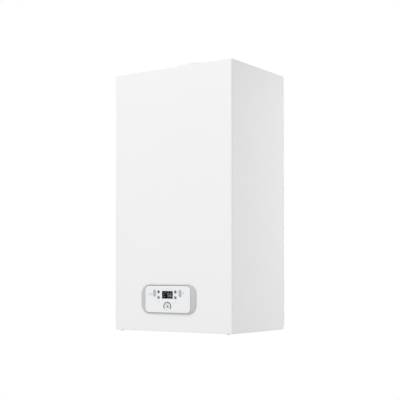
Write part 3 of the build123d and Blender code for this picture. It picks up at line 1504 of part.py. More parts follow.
fascia_plate = (box_front, box_front + fascia_base)
display_board_front = fascia_inside - display_board_gap
with BuildPart() as control_fascia:
    block((-fascia_base_x, fascia_base_x), fascia_plate, box_z)
    with BuildSketch(at_depth(fascia_plate[0])):
        with Locations((control_x, control_z)):
            RectangleRounded(fascia_width, fascia_height, fascia_corner)
    extrude(amount=fascia_front - fascia_plate[0])
    fillet(control_fascia.faces().sort_by(Axis.Y)[0].edges(), fascia_round)
    with BuildSketch(at_depth(fascia_plate[0])):
        with Locations((control_x, control_z)):
            inner_width = fascia_width - 2 * fascia_wall
            inner_height = fascia_height - 2 * fascia_wall
            RectangleRounded(inner_width, inner_height, fascia_corner - fascia_wall)
    extrude(amount=fascia_inside - fascia_plate[0], mode=Mode.SUBTRACT)
    with BuildSketch(at_depth(fascia_inside)):
        with Locations((display_x, display_z)):
            hole = 2 * display_gap
            RectangleRounded(display_width + hole, display_height + hole, display_corner + display_gap)
        with Locations([(x, key_z) for x in key_xs.values()]):
            SlotOverall(key_length + 2 * key_gap, key_width + 2 * key_gap, rotation=90)
        with Locations([(x, casing_bottom + up) for x, up in button_places.values()]):
            Circle(button_hole_r)
        with Locations((gauge_x, gauge_z)):
            Circle(gauge_hole_r)
    extrude(amount=fascia_wall, mode=Mode.SUBTRACT)
    groove_x = (control_x - groove_length / 2, control_x + groove_length / 2)
    groove_up = (groove_z - groove_width / 2, groove_z + groove_width / 2)
    block(groove_x, (fascia_front - groove_deep, fascia_front), groove_up, Mode.SUBTRACT)
    # The gauge's scale is a raised arc, open at the bottom.
    with BuildSketch(at_depth(fascia_front)):
        with Locations((gauge_x, gauge_z)):
            with BuildLine():
                CenterArc((gauge_x, gauge_z), scale_r - scale_width / 2, scale_from, scale_to - scale_from)
            trace(line_width=scale_width)
    extrude(amount=scale_proud)
    for x in key_xs.values():
        for side in (-1, 1):
            ear_across = sorted((x + side * key_ear_x[0], x + side * key_ear_x[1]))
            ear_span = (key_pivot_depth - key_ear_reach, fascia_inside)
            block(ear_across, ear_span, (key_z - key_ear_half, key_z + key_ear_half))
        pivot_x = (x - key_ear_x[1], x + key_ear_x[1])
        crossbar(pivot_x, key_pivot_depth, key_z, key_pivot_r + running, Mode.SUBTRACT)
    for x in (display_board_x[0] + board_post_inset, display_board_x[1] - board_post_inset):
        for z in (display_board_z[0] + board_post_inset, display_board_z[1] - board_post_inset):
            drum(x, z, board_post_r, (display_board_front, fascia_inside))
control_fascia.part.label = "control_fascia"
export_step(control_fascia.part, "parts/control_fascia.step")

with BuildPart() as display_window:
    with BuildSketch(at_depth(fascia_inside)):
        with Locations((display_x, display_z)):
            RectangleRounded(display_width, display_height, display_corner)
    extrude(amount=fascia_wall + display_proud)
    with BuildSketch(at_depth(fascia_inside - display_flange_thick)):
        with Locations((display_x, display_z)):
            flange = 2 * display_flange
            RectangleRounded(display_width + flange, display_height + flange, display_corner)
    extrude(amount=display_flange_thick)
display_window.part.label = "display_window"
export_step(display_window.part, "parts/display_window.step")

button_flange_front = fascia_inside - clearance
button_stem_end = button_flange_front - button_flange - button_stem
for name, (x, up) in button_places.items():
    with BuildPart() as button:
        z = casing_bottom + up
        drum(x, z, button_r, (button_flange_front - button_flange, fascia_front + button_proud))
        fillet(button.faces().sort_by(Axis.Y)[0].edges(), button_round)
        drum(x, z, button_flange_r, (button_flange_front - button_flange, button_flange_front))
        drum(x, z, button_stem_r, (button_stem_end, button_flange_front))
    button.part.label = f"button_{name}"
    export_step(button.part, f"parts/button_{name}.step")

key_front = fascia_front + key_proud
for name, x in key_xs.items():
    with BuildPart() as key:
        with BuildSketch(at_depth(key_front - key_thick)):
            with Locations((x, key_z)):
                SlotOverall(key_length, key_width, rotation=90)
        extrude(amount=key_thick)
        fillet(key.faces().sort_by(Axis.Y)[0].edges(), button_round)
        crossbar((x - key_pivot_half, x + key_pivot_half), key_pivot_depth, key_z, key_pivot_r)
    key.part.label = f"rocker_key_{name}"
    export_step(key.part, f"parts/rocker_key_{name}.step")

dial_depth = fascia_front - dial_sunk
lens_rear = fascia_front - lens_thick
gauge_neck_r = gauge_hole_r - gauge_gap
with BuildPart() as gauge_body:
    drum(gauge_x, gauge_z, gauge_can_r, (gauge_can_rear, fascia_inside - gauge_gap))
    drum(gauge_x, gauge_z, gauge_neck_r, (fascia_inside - gauge_gap, lens_rear))
    drum(gauge_x, gauge_z, gauge_neck_r - gauge_rim, (dial_depth, lens_rear), Mode.SUBTRACT)
    drum(gauge_x, gauge_z, needle_pin_r, (dial_depth, lens_rear - clearance))
gauge_body.part.label = "gauge_body"
export_step(gauge_body.part, "parts/gauge_body.step")

needle_rear = dial_depth + clearance
with BuildPart() as gauge_needle:
    with BuildSketch(at_depth(needle_rear)):
        with Locations((gauge_x, gauge_z)):
            with Locations(Rotation(0, 0, needle_angle)):
                with Locations(((needle_length - needle_tail) / 2, 0)):
                    Rectangle(needle_length + needle_tail, needle_width)
                Circle(needle_hub_r)
                Circle(needle_pin_r + running, mode=Mode.SUBTRACT)
    extrude(amount=needle_thick)
gauge_needle.part.label = "gauge_needle"
export_step(gauge_needle.part, "parts/gauge_needle.step")

with BuildPart() as gauge_lens:
    drum(gauge_x, gauge_z, gauge_neck_r, (lens_rear, fascia_front))
gauge_lens.part.label = "gauge_lens"
export_step(gauge_lens.part, "parts/gauge_lens.step")

# The display board with its switches, and the main board with its relays, transformer and plugs
with BuildPart() as circuit_boards:
    display_board_depth = (display_board_front - board, display_board_front)
    block(display_board_x, display_board_depth, display_board_z)
    for x, up in button_places.values():
        z = casing_bottom + up
        switch_top = button_stem_end - button_travel - switch_gap
        switch_x = (x - switch_half, x + switch_half)
        block(switch_x, (display_board_front, switch_top), (z - switch_half, z + switch_half))
    block((-main_board_x, main_board_x), (main_board_rear, main_board_rear + board), main_board_z)
    main_front = main_board_rear + board
    for x in relay_xs:
        relay_x = (x - relay_size[0] / 2, x + relay_size[0] / 2)
        relay_up = (relay_z - relay_size[2] / 2, relay_z + relay_size[2] / 2)
        block(relay_x, (main_front, main_front + relay_size[1]), relay_up)
    transformer_half = transformer_size[0] / 2
    transformer_across = (transformer_x - transformer_half, transformer_x + transformer_half)
    transformer_up = (transformer_z - transformer_size[2] / 2, transformer_z + transformer_size[2] / 2)
    block(transformer_across, (main_front, main_front + transformer_size[1]), transformer_up)
    for x in plug_xs:
        plug_x = (x - plug_size[0] / 2, x + plug_size[0] / 2)
        plug_up = (plug_z - plug_size[2] / 2, plug_z + plug_size[2] / 2)
        block(plug_x, (main_front, main_front + plug_size[1]), plug_up)
circuit_boards.part.label = "circuit_boards"
export_step(circuit_boards.part, "parts/circuit_boards.step")
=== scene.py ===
import json
import math

import bmesh
import bpy
from mathutils import Matrix, Vector


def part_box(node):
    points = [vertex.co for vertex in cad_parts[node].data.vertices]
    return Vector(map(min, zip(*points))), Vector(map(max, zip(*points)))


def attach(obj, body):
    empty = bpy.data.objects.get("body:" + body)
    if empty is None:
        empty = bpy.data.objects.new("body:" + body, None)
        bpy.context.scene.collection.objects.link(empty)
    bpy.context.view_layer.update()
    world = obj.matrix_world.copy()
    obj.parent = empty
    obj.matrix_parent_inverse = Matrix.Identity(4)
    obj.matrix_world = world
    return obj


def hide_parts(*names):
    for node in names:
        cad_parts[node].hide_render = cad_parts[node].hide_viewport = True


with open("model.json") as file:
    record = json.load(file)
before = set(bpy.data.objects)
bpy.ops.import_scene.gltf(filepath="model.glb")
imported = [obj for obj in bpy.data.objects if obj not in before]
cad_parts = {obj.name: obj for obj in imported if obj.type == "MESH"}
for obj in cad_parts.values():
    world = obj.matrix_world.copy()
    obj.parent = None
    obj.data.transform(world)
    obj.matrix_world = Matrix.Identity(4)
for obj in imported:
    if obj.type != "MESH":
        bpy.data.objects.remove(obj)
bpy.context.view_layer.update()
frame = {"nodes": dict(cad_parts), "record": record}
print("frame loaded:", len(frame["nodes"]), "nodes")

mm = 0.001
recordSlots = {row["material_slot"] for row in frame["record"]["subparts"]}


def srgb(*levels):  # picture levels from 0 to 255, as Blender's linear colour
    linear = [v / 255 / 12.92 if v < 10.3 else ((v / 255 + 0.055) / 1.055) ** 2.4 for v in levels]
    return tuple(linear) if len(linear) == 3 else (linear[0],) * 3


# --- shader maths: a wrapped socket takes part in Python expressions ---


class Wire:
    def __init__(self, finish, socket):
        self.finish = finish
        self.socket = socket

    def maths(self, operation, first, second):
        return self.finish.node("Math", {"operation": operation}, {0: first, 1: second})

    def __add__(self, other):
        return self.maths("ADD", self, other)

    def __radd__(self, other):
        return self.maths("ADD", other, self)

    def __sub__(self, other):
        return self.maths("SUBTRACT", self, other)

    def __rsub__(self, other):
        return self.maths("SUBTRACT", other, self)

    def __mul__(self, other):
        return self.maths("MULTIPLY", self, other)

    def __rmul__(self, other):
        return self.maths("MULTIPLY", other, self)


class Finish:  # one material, its tree and the nodes that most finishes share
    def __init__(self, name):
        self.material = bpy.data.materials.new(name)
        self.material.use_nodes = True
        self.tree = self.material.node_tree
        self.tree.nodes.clear()
        self.place = None

    def node(self, kind, settings=None, inputs=None, output=0):
        made = self.tree.nodes.new("ShaderNode" + kind)
        for key, value in (settings or {}).items():
            if key == "stops":
                self.fillRamp(made.color_ramp, value)
            else:
                setattr(made, key, value)
        for key, value in (inputs or {}).items():
            self.feed(made.inputs[key], value)
        return Wire(self, made.outputs[output]) if made.outputs else None

    def feed(self, target, value):
        if isinstance(value, Wire):
            self.tree.links.new(value.socket, target)
            return
        if hasattr(target.default_value, "__len__") and len(target.default_value) == 4 and len(value) == 3:
            value = (*value, 1.0)
        target.default_value = value

    def fillRamp(self, ramp, stops):
        while len(ramp.elements) < len(stops):
            ramp.elements.new(0.5)
        for element, (position, level) in zip(ramp.elements, stops):
            element.position = position
            element.color = (*level, 1.0) if hasattr(level, "__len__") else (level, level, level, 1.0)

    def objectPlace(self, stretch=(1, 1, 1), turn=(0, 0, 0)):
        if self.place is None:
            self.place = self.node("TexCoord", output="Object")
        if stretch == (1, 1, 1) and turn == (0, 0, 0):
            return self.place
        return self.node("Mapping", {}, {"Vector": self.place, "Scale": stretch, "Rotation": turn})

    def noise(self, scale, detail=3.0, rough=0.5, stretch=(1, 1, 1)):
        inputs = {"Vector": self.objectPlace(stretch), "Scale": scale, "Detail": detail, "Roughness": rough}
        return self.node("TexNoise", {}, inputs)

    def cells(self, scale, output="Distance"):
        inputs = {"Vector": self.objectPlace(), "Scale": scale}
        return self.node("TexVoronoi", {}, inputs, output)

    def ramp(self, value, stops):
        return self.node("ValToRGB", {"stops": stops}, {0: value})

    def mix(self, share, first, second):
        inputs = {0: share, 6: first, 7: second}
        return self.node("Mix", {"data_type": "RGBA"}, inputs, 2)

    def bump(self, height, distance, strength=1.0):
        inputs = {"Height": height, "Distance": distance, "Strength": strength}
        return self.node("Bump", {}, inputs)

    def shade(self, inputs):
        shader = self.node("BsdfPrincipled", {}, inputs)
        self.node("OutputMaterial", {}, {"Surface": shader})
        return self.material

    def wornEdge(self, width, grain):  # 1 on sharp outer edges, broken up by a noise
        point = self.node("NewGeometry", output="Pointiness")
        edge = self.node("MapRange", {}, {0: point, 1: 0.5 + width, 2: 0.5 + 3 * width})
        return edge * self.ramp(self.noise(grain, 4), ((0.42, 0.0), (0.62, 1.0)))


finishes = {}


def paintedSheet():  # satin powder coat: faint orange peel, a little dust in the roughness
    settings = {"colour": srgb(240, 240, 240), "shadeColour": srgb(236, 236, 236), "rough": 0.42}
    finish = Finish("casingPaint")
    cloud = finish.noise(2.2, 2.0)
    colour = finish.mix(cloud, settings["colour"], settings["shadeColour"])
    peel = finish.noise(900.0, 2.0) + 0.6 * finish.noise(260.0, 2.0)
    rough = settings["rough"] + 0.10 * finish.noise(14.0, 4.0)
    return finish.shade({
        "Base Color": colour,
        "Roughness": rough,
        "Coat Weight": 0.12,
        "Coat Roughness": 0.22,
        "Normal": finish.bump(peel, 0.00002, 0.25),
    })


def mouldedPlastic(name, colour, rough=0.5, grain=0.00002, wear=0.12, coat=0.0):
    finish = Finish(name)
    cloud = finish.noise(18.0, 3.0)
    dark = tuple(c * (1 - wear) for c in colour)
    tinted = finish.mix(cloud, colour, dark)
    leather = finish.cells(1500.0) + 0.5 * finish.noise(2600.0, 2.0)
    return finish.shade({
        "Base Color": tinted,
        "Roughness": rough - 0.06 + 0.14 * finish.noise(60.0, 3.0),
        "Coat Weight": coat,
        "Coat Roughness": 0.1,
        "Normal": finish.bump(leather, grain, 0.3),
    })


def galvanisedSheet(name, light, dark, spangle=70.0):  # zinc crystals of slightly different greys
    finish = Finish(name)
    crystal = finish.cells(spangle, output="Color")
    grey = finish.node("SeparateColor", {}, {0: crystal})
    tone = finish.ramp(grey * 0.5 + 0.5 * finish.noise(9.0, 4.0), ((0.2, dark), (0.8, light)))
    rubbed = finish.noise(240.0, 3.0, stretch=(1, 1, 0.05))
    return finish.shade({
        "Base Color": tone,
        "Metallic": 0.8,
        "Roughness": 0.42 + 0.12 * grey,
        "Normal": finish.bump(rubbed + 0.3 * grey, 0.00002, 0.2),
    })


def brushedMetal(name, light, dark, rough=0.3, stretch=(1, 1, 0.04), wear=0.25):
    finish = Finish(name)
    lines = finish.noise(420.0, 4.0, 0.6, stretch)
    stain = finish.noise(26.0, 4.0, 0.6)
    tone = finish.mix(finish.ramp(stain, ((0.35, 0.0), (0.75, 1.0))), light, dark)
    return finish.shade({
        "Base Color": finish.mix(lines * wear, tone, dark),
        "Metallic": 1.0,
        "Roughness": rough - 0.05 + 0.18 * lines + 0.06 * stain,
        "Normal": finish.bump(lines, 0.00003, 0.25),
    })


def castMetal(name, light, dark, rough=0.48):  # sand-cast or die-cast skin
    finish = Finish(name)
    grain = finish.noise(700.0, 5.0, 0.65)
    stain = finish.noise(22.0, 4.0)
    worn = finish.wornEdge(0.02, 90.0)
    tone = finish.mix(finish.ramp(stain, ((0.3, 0.0), (0.8, 1.0))), light, dark)
    return finish.shade({
        "Base Color": finish.mix(worn * 0.5, tone, tuple(min(1, c * 1.2) for c in light)),
        "Metallic": 0.9,
        "Roughness": rough + 0.16 * grain - 0.12 * worn,
        "Normal": finish.bump(grain, 0.00012, 0.5),
    })


def copperTube():  # drawn copper with heat tint and dull patches
    finish = Finish("drawnCopper")
    patch = finish.ramp(finish.noise(16.0, 5.0, 0.6), ((0.38, 0.0), (0.7, 1.0)))
    tone = finish.mix(patch, (0.80, 0.40, 0.24), (0.42, 0.19, 0.11))
    fine = finish.noise(500.0, 3.0)
    return finish.shade({
        "Base Color": finish.mix(fine * 0.3, tone, (0.9, 0.52, 0.34)),
        "Metallic": 1.0,
        "Roughness": 0.24 + 0.26 * patch + 0.05 * fine,
        "Normal": finish.bump(fine, 0.00002, 0.2),
    })


def rubberSkin(name, colour, rough=0.72):
    finish = Finish(name)
    grain = finish.noise(1400.0, 4.0, 0.6)
    bloom = finish.ramp(finish.noise(30.0, 4.0), ((0.45, 0.0), (0.85, 1.0)))
    return finish.shade({
        "Base Color": finish.mix(bloom * 0.25, colour, tuple(min(1, c * 1.8 + 0.02) for c in colour)),
        "Roughness": rough + 0.12 * bloom,
        "Normal": finish.bump(grain, 0.00005, 0.4),
    })


def foamStrip():
    finish = Finish("sealFoam")
    pores = finish.cells(900.0)
    tone = finish.ramp(pores, ((0.0, srgb(28, 28, 30)), (0.6, srgb(74, 74, 78))))
    return finish.shade({
        "Base Color": tone,
        "Roughness": 0.9,
        "Normal": finish.bump(pores, 0.0005, 0.7),
    })


def pressedFibre():
    finish = Finish("fibreBoard")
    strands = finish.noise(420.0, 6.0, 0.7, (1, 1, 0.3))
    tone = finish.ramp(strands, ((0.3, srgb(196, 188, 170)), (0.7, srgb(236, 230, 216))))
    return finish.shade({"Base Color": tone, "Roughness": 0.95, "Normal": finish.bump(strands, 0.0004, 0.7)})


def glossyPaint(name, colour, rough=0.3):
    finish = Finish(name)
    cloud = finish.noise(8.0, 3.0)
    worn = finish.wornEdge(0.015, 120.0)
    tone = finish.mix(cloud, colour, tuple(c * 0.78 for c in colour))
    return finish.shade({
        "Base Color": finish.mix(worn * 0.3, tone, srgb(120, 118, 114)),
        "Roughness": rough + 0.14 * finish.noise(40.0, 3.0),
        "Coat Weight": 0.3,
        "Coat Roughness": 0.15,
        "Normal": finish.bump(finish.noise(380.0, 2.0), 0.00005, 0.35),
    })


def clearLens():
    finish = Finish("clearLens")
    smear = finish.noise(60.0, 3.0)
    return finish.shade({
        "Base Color": finish.mix(smear, srgb(238, 240, 240), srgb(216, 220, 222)),
        "Roughness": 0.03 + 0.05 * smear,
        "Alpha": 0.05 + 0.05 * smear,
        "IOR": 1.49,
    })


def darkGlass():
    finish = Finish("displayBlack")
    smear = finish.noise(45.0, 4.0)
    return finish.shade({
        "Base Color": finish.mix(smear, srgb(4, 6, 10), srgb(10, 14, 19)),
        "Roughness": 0.22 + 0.2 * smear,
        "Specular IOR Level": 0.06,
        "Normal": finish.bump(smear, 0.00001, 0.1),
    })


def litDigits():
    finish = Finish("lcdDigits")
    glow = finish.mix(finish.noise(700.0, 2.0), srgb(176, 202, 216), srgb(148, 176, 194))
    return finish.shade({
        "Base Color": glow,
        "Roughness": 0.4 + 0.2 * finish.noise(300.0, 2.0),
        "Normal": finish.bump(finish.noise(900.0, 2.0), 0.00001, 0.2),
    })


def boardGreen():
    finish = Finish("solderMask")
    tracks = finish.node("TexBrick", {"offset": 0.3}, {
        "Vector": finish.objectPlace(turn=(math.radians(90), 0, 0)),
        "Scale": 90.0,
        "Color1": srgb(16, 82, 44),
        "Color2": srgb(20, 96, 52),
        "Mortar": srgb(36, 124, 66),
        "Mortar Size": 0.03,
    })
    return finish.shade({
        "Base Color": tracks,
        "Roughness": 0.35 + 0.2 * finish.noise(80.0, 3.0),
        "Normal": finish.bump(finish.noise(700.0, 2.0), 0.00005, 0.3),
    })


def makeFinishes():
    finishes.update({
        "casing_paint": paintedSheet(),
        "bezel_grey": mouldedPlastic("bezelGrey", srgb(201, 202, 203), 0.42),
        "fascia_white": mouldedPlastic("fasciaWhite", srgb(238, 239, 240), 0.45, wear=0.03),
        "display_black": darkGlass(),
        "key_grey": mouldedPlastic("keyGrey", srgb(186, 187, 189), 0.48, wear=0.06),
        "button_grey": mouldedPlastic("buttonGrey", srgb(152, 153, 155), 0.5),
        # the dial's own white, set lighter to offset the ticks and numbers and, as painted light, the shade
        # in its recess
        "gauge_body": mouldedPlastic("dialWhite", srgb(248, 249, 250), 0.5, wear=0.02),
        "needle_dark": mouldedPlastic("needleDark", srgb(40, 40, 42), 0.5),
        "lens_clear": clearLens(),
        "zinc_sheet": galvanisedSheet("zincSheet", srgb(214, 216, 218), srgb(188, 191, 194), 120.0),
        "bracket_steel": galvanisedSheet("bracketZinc", srgb(206, 208, 210), srgb(172, 175, 178), 150.0),
        "screw_steel": brushedMetal("platedScrew", srgb(214, 214, 210), srgb(150, 150, 148), 0.28),
        "stainless": brushedMetal("stainless", srgb(206, 205, 202), srgb(150, 144, 136), 0.3),
        "rubber_black": rubberSkin("blackRubber", srgb(30, 30, 31)),
        "foam_grey": foamStrip(),
        "socket_black": mouldedPlastic("socketBlack", srgb(38, 38, 40), 0.55),
        # white plastic set lighter than its own colour: painted light on the collar, which the lamps leave in
        # shade
        "collar_plastic": mouldedPlastic("collarPlasticPaintedLight", srgb(250, 250, 250), 0.5, wear=0.02),
        "flue_plastic": mouldedPlastic("fluePlastic", srgb(226, 226, 221), 0.5),
        "shell_composite": mouldedPlastic("shellComposite", srgb(62, 63, 66), 0.6, 0.00008),
        "door_casting": castMetal("doorCasting", srgb(204, 206, 208), srgb(176, 178, 181)),
        "fibre_board": pressedFibre(),
        "ceramic": mouldedPlastic("ceramicWhite", srgb(232, 228, 218), 0.28, coat=0.4),
        "fan_black": mouldedPlastic("fanBlack", srgb(42, 42, 45), 0.55, 0.00006),
        "fan_casting": castMetal("fanCasting", srgb(196, 198, 201), srgb(164, 166, 170)),
        "intake_plastic": mouldedPlastic("intakePlastic", srgb(54, 55, 59), 0.6, 0.00006),
        "valve_casting": castMetal("valveCasting", srgb(206, 208, 210), srgb(174, 176, 180)),
        "copper": copperTube(),
        "brass": brushedMetal("turnedBrass", (0.78, 0.60, 0.30), (0.46, 0.33, 0.15), 0.3, (1, 1, 4)),
        "block_composite": mouldedPlastic("blockComposite", srgb(58, 58, 60), 0.62, 0.0001),
        "motor_grey": castMetal("motorGrey", srgb(150, 152, 156), srgb(104, 106, 110), 0.5),
        "motor_black": mouldedPlastic("motorBlack", srgb(44, 44, 47), 0.5, 0.00005),
        "rotor_plastic": mouldedPlastic("rotorPlastic", srgb(222, 216, 196), 0.45),
        "knob_red": mouldedPlastic("knobRed", srgb(172, 34, 30), 0.4, coat=0.2),
        "knob_blue": mouldedPlastic("knobBlue", srgb(32, 74, 142), 0.4, coat=0.2),
        "vessel_paint": glossyPaint("vesselRed", srgb(160, 44, 38)),
        "trap_plastic": mouldedPlastic("trapPlastic", srgb(222, 226, 230), 0.35, coat=0.2),
        "hose_grey": rubberSkin("hoseGrey", srgb(96, 97, 100), 0.55),
        "gland_black": mouldedPlastic("glandBlack", srgb(36, 36, 38), 0.5),
        "box_plastic": mouldedPlastic("boxPlastic", srgb(66, 67, 71), 0.55, 0.00006),
        "board_green": boardGreen(),
        "lcd_digits": litDigits(),
        "print_grey": mouldedPlastic("printGrey", srgb(150, 152, 156), 0.6),
        "arc_grey": mouldedPlastic("arcGrey", srgb(86, 87, 89), 0.5),
    })


def dressFrame():
    slots = {row["node"]: row["material_slot"] for row in frame["record"]["subparts"]}
    for name, thing in frame["nodes"].items():
        thing.data.materials.clear()
        thing.data.materials.append(finishes[slots[name]])


makeFinishes()
dressFrame()
print("finishes made:", len(finishes))

# --- mesh helpers: places are x, depth from the wall and z, in millimetres ---

axes = {  # across, up and outward of the planes that pieces are drawn on
    "front": (Vector((1, 0, 0)), Vector((0, 0, 1)), Vector((0, -1, 0))),
    "top": (Vector((1, 0, 0)), Vector((0, 1, 0)), Vector((0, 0, 1))),
    "right": (Vector((0, 1, 0)), Vector((0, 0, 1)), Vector((1, 0, 0))),
    "back": (Vector((-1, 0, 0)), Vector((0, 0, 1)), Vector((0, 1, 0))),
}


def spot(x, depth, z):
    return Vector((x, -depth, z)) * mm


def span(node):  # a CAD node's reach along x, depth and z, in millimetres
    low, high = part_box(node)
    return {
        "x": (low[0] / mm, high[0] / mm),
        "depth": (-high[1] / mm, -low[1] / mm),
        "z": (low[2] / mm, high[2] / mm),
    }


def middle(reach):  # to a tenth, because a round piece's mesh isn't quite symmetric
    return round((reach[0] + reach[1]) / 2, 1)


def circleLoop(radius, steps=48, start=0.0):
    turns = [math.radians(start) + 2 * math.pi * i / steps for i in range(steps)]
    return [(radius * math.cos(t), radius * math.sin(t)) for t in turns]


def roundedLoop(width, height, corner, cornerSteps=10, centre=(0, 0)):
    corner = max(0.01, min(corner, width / 2, height / 2))
    loop = []
    for quarter, (sx, sy) in enumerate(((1, 1), (-1, 1), (-1, -1), (1, -1))):
        cx = centre[0] + sx * (width / 2 - corner)
        cy = centre[1] + sy * (height / 2 - corner)
        for i in range(cornerSteps + 1):
            turn = math.radians(90 * (quarter + i / cornerSteps))
            loop.append((cx + corner * math.cos(turn), cy + corner * math.sin(turn)))
    return loop


def roundedSide(low, high, edge):  # insets and heights up a side whose two edges are round
    arc = [(edge * (1 - math.cos(a)), edge * (1 - math.sin(a))) for a in map(math.radians, (0, 30, 60, 90))]
    lower = [(inset, low + rise) for inset, rise in reversed(arc)]
    return lower + [(inset, high - rise) for inset, rise in arc]


class Shape:  # gathers the faces of one piece
    def __init__(self, plane="front", origin=(0, 0, 0)):
        self.mesh = bmesh.new()
        self.move(plane, origin)

    def move(self, plane, origin):
        self.across, self.up, self.out = axes[plane]
        self.origin = spot(*origin)
        return self

    def point(self, u, v, w):
        return self.origin + (self.across * u + self.up * v + self.out * w) * mm

    def skin(self, rings, closed=False):  # capped at both ends, or closed into a ring
        rows = [[self.mesh.verts.new(p) for p in ring] for ring in rings]
        pairs = list(zip(rows, rows[1:])) + ([(rows[-1], rows[0])] if closed else [])
        for low, high in pairs:
            for i in range(len(low)):
                j = (i + 1) % len(low)
                self.mesh.faces.new((low[i], low[j], high[j], high[i]))
        if not closed:
            self.mesh.faces.new(list(reversed(rows[0])))
            self.mesh.faces.new(rows[-1])

    def loft(self, stages, closed=False):  # stages of (loop of u, v; distance outward)
        self.skin([[self.point(u, v, w) for u, v in loop] for loop, w in stages], closed)
        return self

    def lathe(self, profile, steps=48, centre=(0, 0), closed=False):  # profile of (radius, distance outward)
        stages = []
        for radius, w in profile:
            loop = circleLoop(max(radius, 0.01), steps)
            stages.append(([(u + centre[0], v + centre[1]) for u, v in loop], w))
        return self.loft(stages, closed)

    def disc(self, radius, reach, edge=0.5, steps=40, centre=(0, 0)):  # reach: both distances outward
        edge = min(edge, (reach[1] - reach[0]) / 2.01, radius / 2)
        profile = [(radius - inset, w) for inset, w in roundedSide(*reach, edge)]
        return self.lathe(profile, steps, centre)

    def slab(self, size, reach, edge=0.5, centre=(0, 0), cornerSteps=6):  # size: width, height, corner radius
        width, height, corner = size
        edge = min(edge, (reach[1] - reach[0]) / 2.01)
        stages = []
        for inset, w in roundedSide(*reach, edge):
            loop = roundedLoop(width - 2 * inset, height - 2 * inset, corner - inset, cornerSteps, centre)
            stages.append((loop, w))
        return self.loft(stages)

    def hexagon(self, flats, reach, edge=0.8, centre=(0, 0), start=0.0):
        low, high = reach
        radius = flats / math.sqrt(3)
        side = [(radius - edge, low), (radius, low + edge / 2)]
        side += [(radius, high - edge / 2), (radius - edge, high)]
        stages = []
        for r, w in side:
            stages.append(([(u + centre[0], v + centre[1]) for u, v in circleLoop(r, 6, start)], w))
        return self.loft(stages)

    def cross(self, long, wide, reach, centre=(0, 0)):  # the slots of a cross-head screw as thin plates; given a dark finish where used, they are painted shade of the recess
        for size in ((long, wide, 0.2), (wide, long, 0.2)):
            self.slab(size, reach, edge=0.05, centre=centre)
        return self

    def pipe(self, points, bend, radius, steps=20, bends=8):
        path = bentPath([spot(*p) for p in points], bend * mm, bends)
        rings = []
        normal = None
        for i, here in enumerate(path):
            ahead = path[min(i + 1, len(path) - 1)] - path[max(i - 1, 0)]
            ahead.normalize()
            if normal is None:
                normal = ahead.orthogonal().normalized()
            normal = (normal - ahead * normal.dot(ahead)).normalized()
            side = ahead.cross(normal)
            ring = []
            for u, v in circleLoop(radius, steps):
                ring.append(here + (normal * u + side * v) * mm)
            rings.append(ring)
        self.skin(rings)
        return self


def bentPath(points, bend, steps):  # a polyline whose corners are arcs
    path = [points[0]]
    for before, corner, after in zip(points, points[1:], points[2:]):
        back = (before - corner).normalized()
        ahead = (after - corner).normalized()
        half = back.angle(ahead) / 2
        reach = bend / math.tan(half)
        centre = corner + (back + ahead).normalized() * (bend / math.sin(half))
        start = corner + back * reach - centre
        end = corner + ahead * reach - centre
        sweep = start.angle(end)
        for i in range(steps + 1):
            t = i / steps
            mixed = start * math.sin((1 - t) * sweep) + end * math.sin(t * sweep)
            path.append(centre + mixed / math.sin(sweep))
    path.append(points[-1])
    return path


def finishMesh(shape, name, slotName, smooth):
    mesh = bpy.data.meshes.new(name)
    bmesh.ops.remove_doubles(shape.mesh, verts=shape.mesh.verts, dist=1e-7)
    bmesh.ops.recalc_face_normals(shape.mesh, faces=shape.mesh.faces)
    shape.mesh.to_mesh(mesh)
    shape.mesh.free()
    mesh.materials.append(finishes[slotName])
    shadeMesh(mesh, smooth)
    return mesh


def shadeMesh(mesh, smooth):
    mesh.polygons.foreach_set("use_smooth", [True] * len(mesh.polygons))
    mesh.set_sharp_from_angle(angle=math.radians(smooth))


def addMesh(mesh, body, slotName, replaced=()):
    thing = bpy.data.objects.new(mesh.name, mesh)
    bpy.context.scene.collection.objects.link(thing)
    slotName in recordSlots
    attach(thing, body)
    if replaced:
        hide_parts(*replaced)
    return thing


def addPiece(name, shape, body, slotName, replaced=(), smooth=32):
    return addMesh(finishMesh(shape, name, slotName, smooth), body, slotName, replaced)


# --- Geometry Nodes: one template set out again and again along a line or round an arc ---


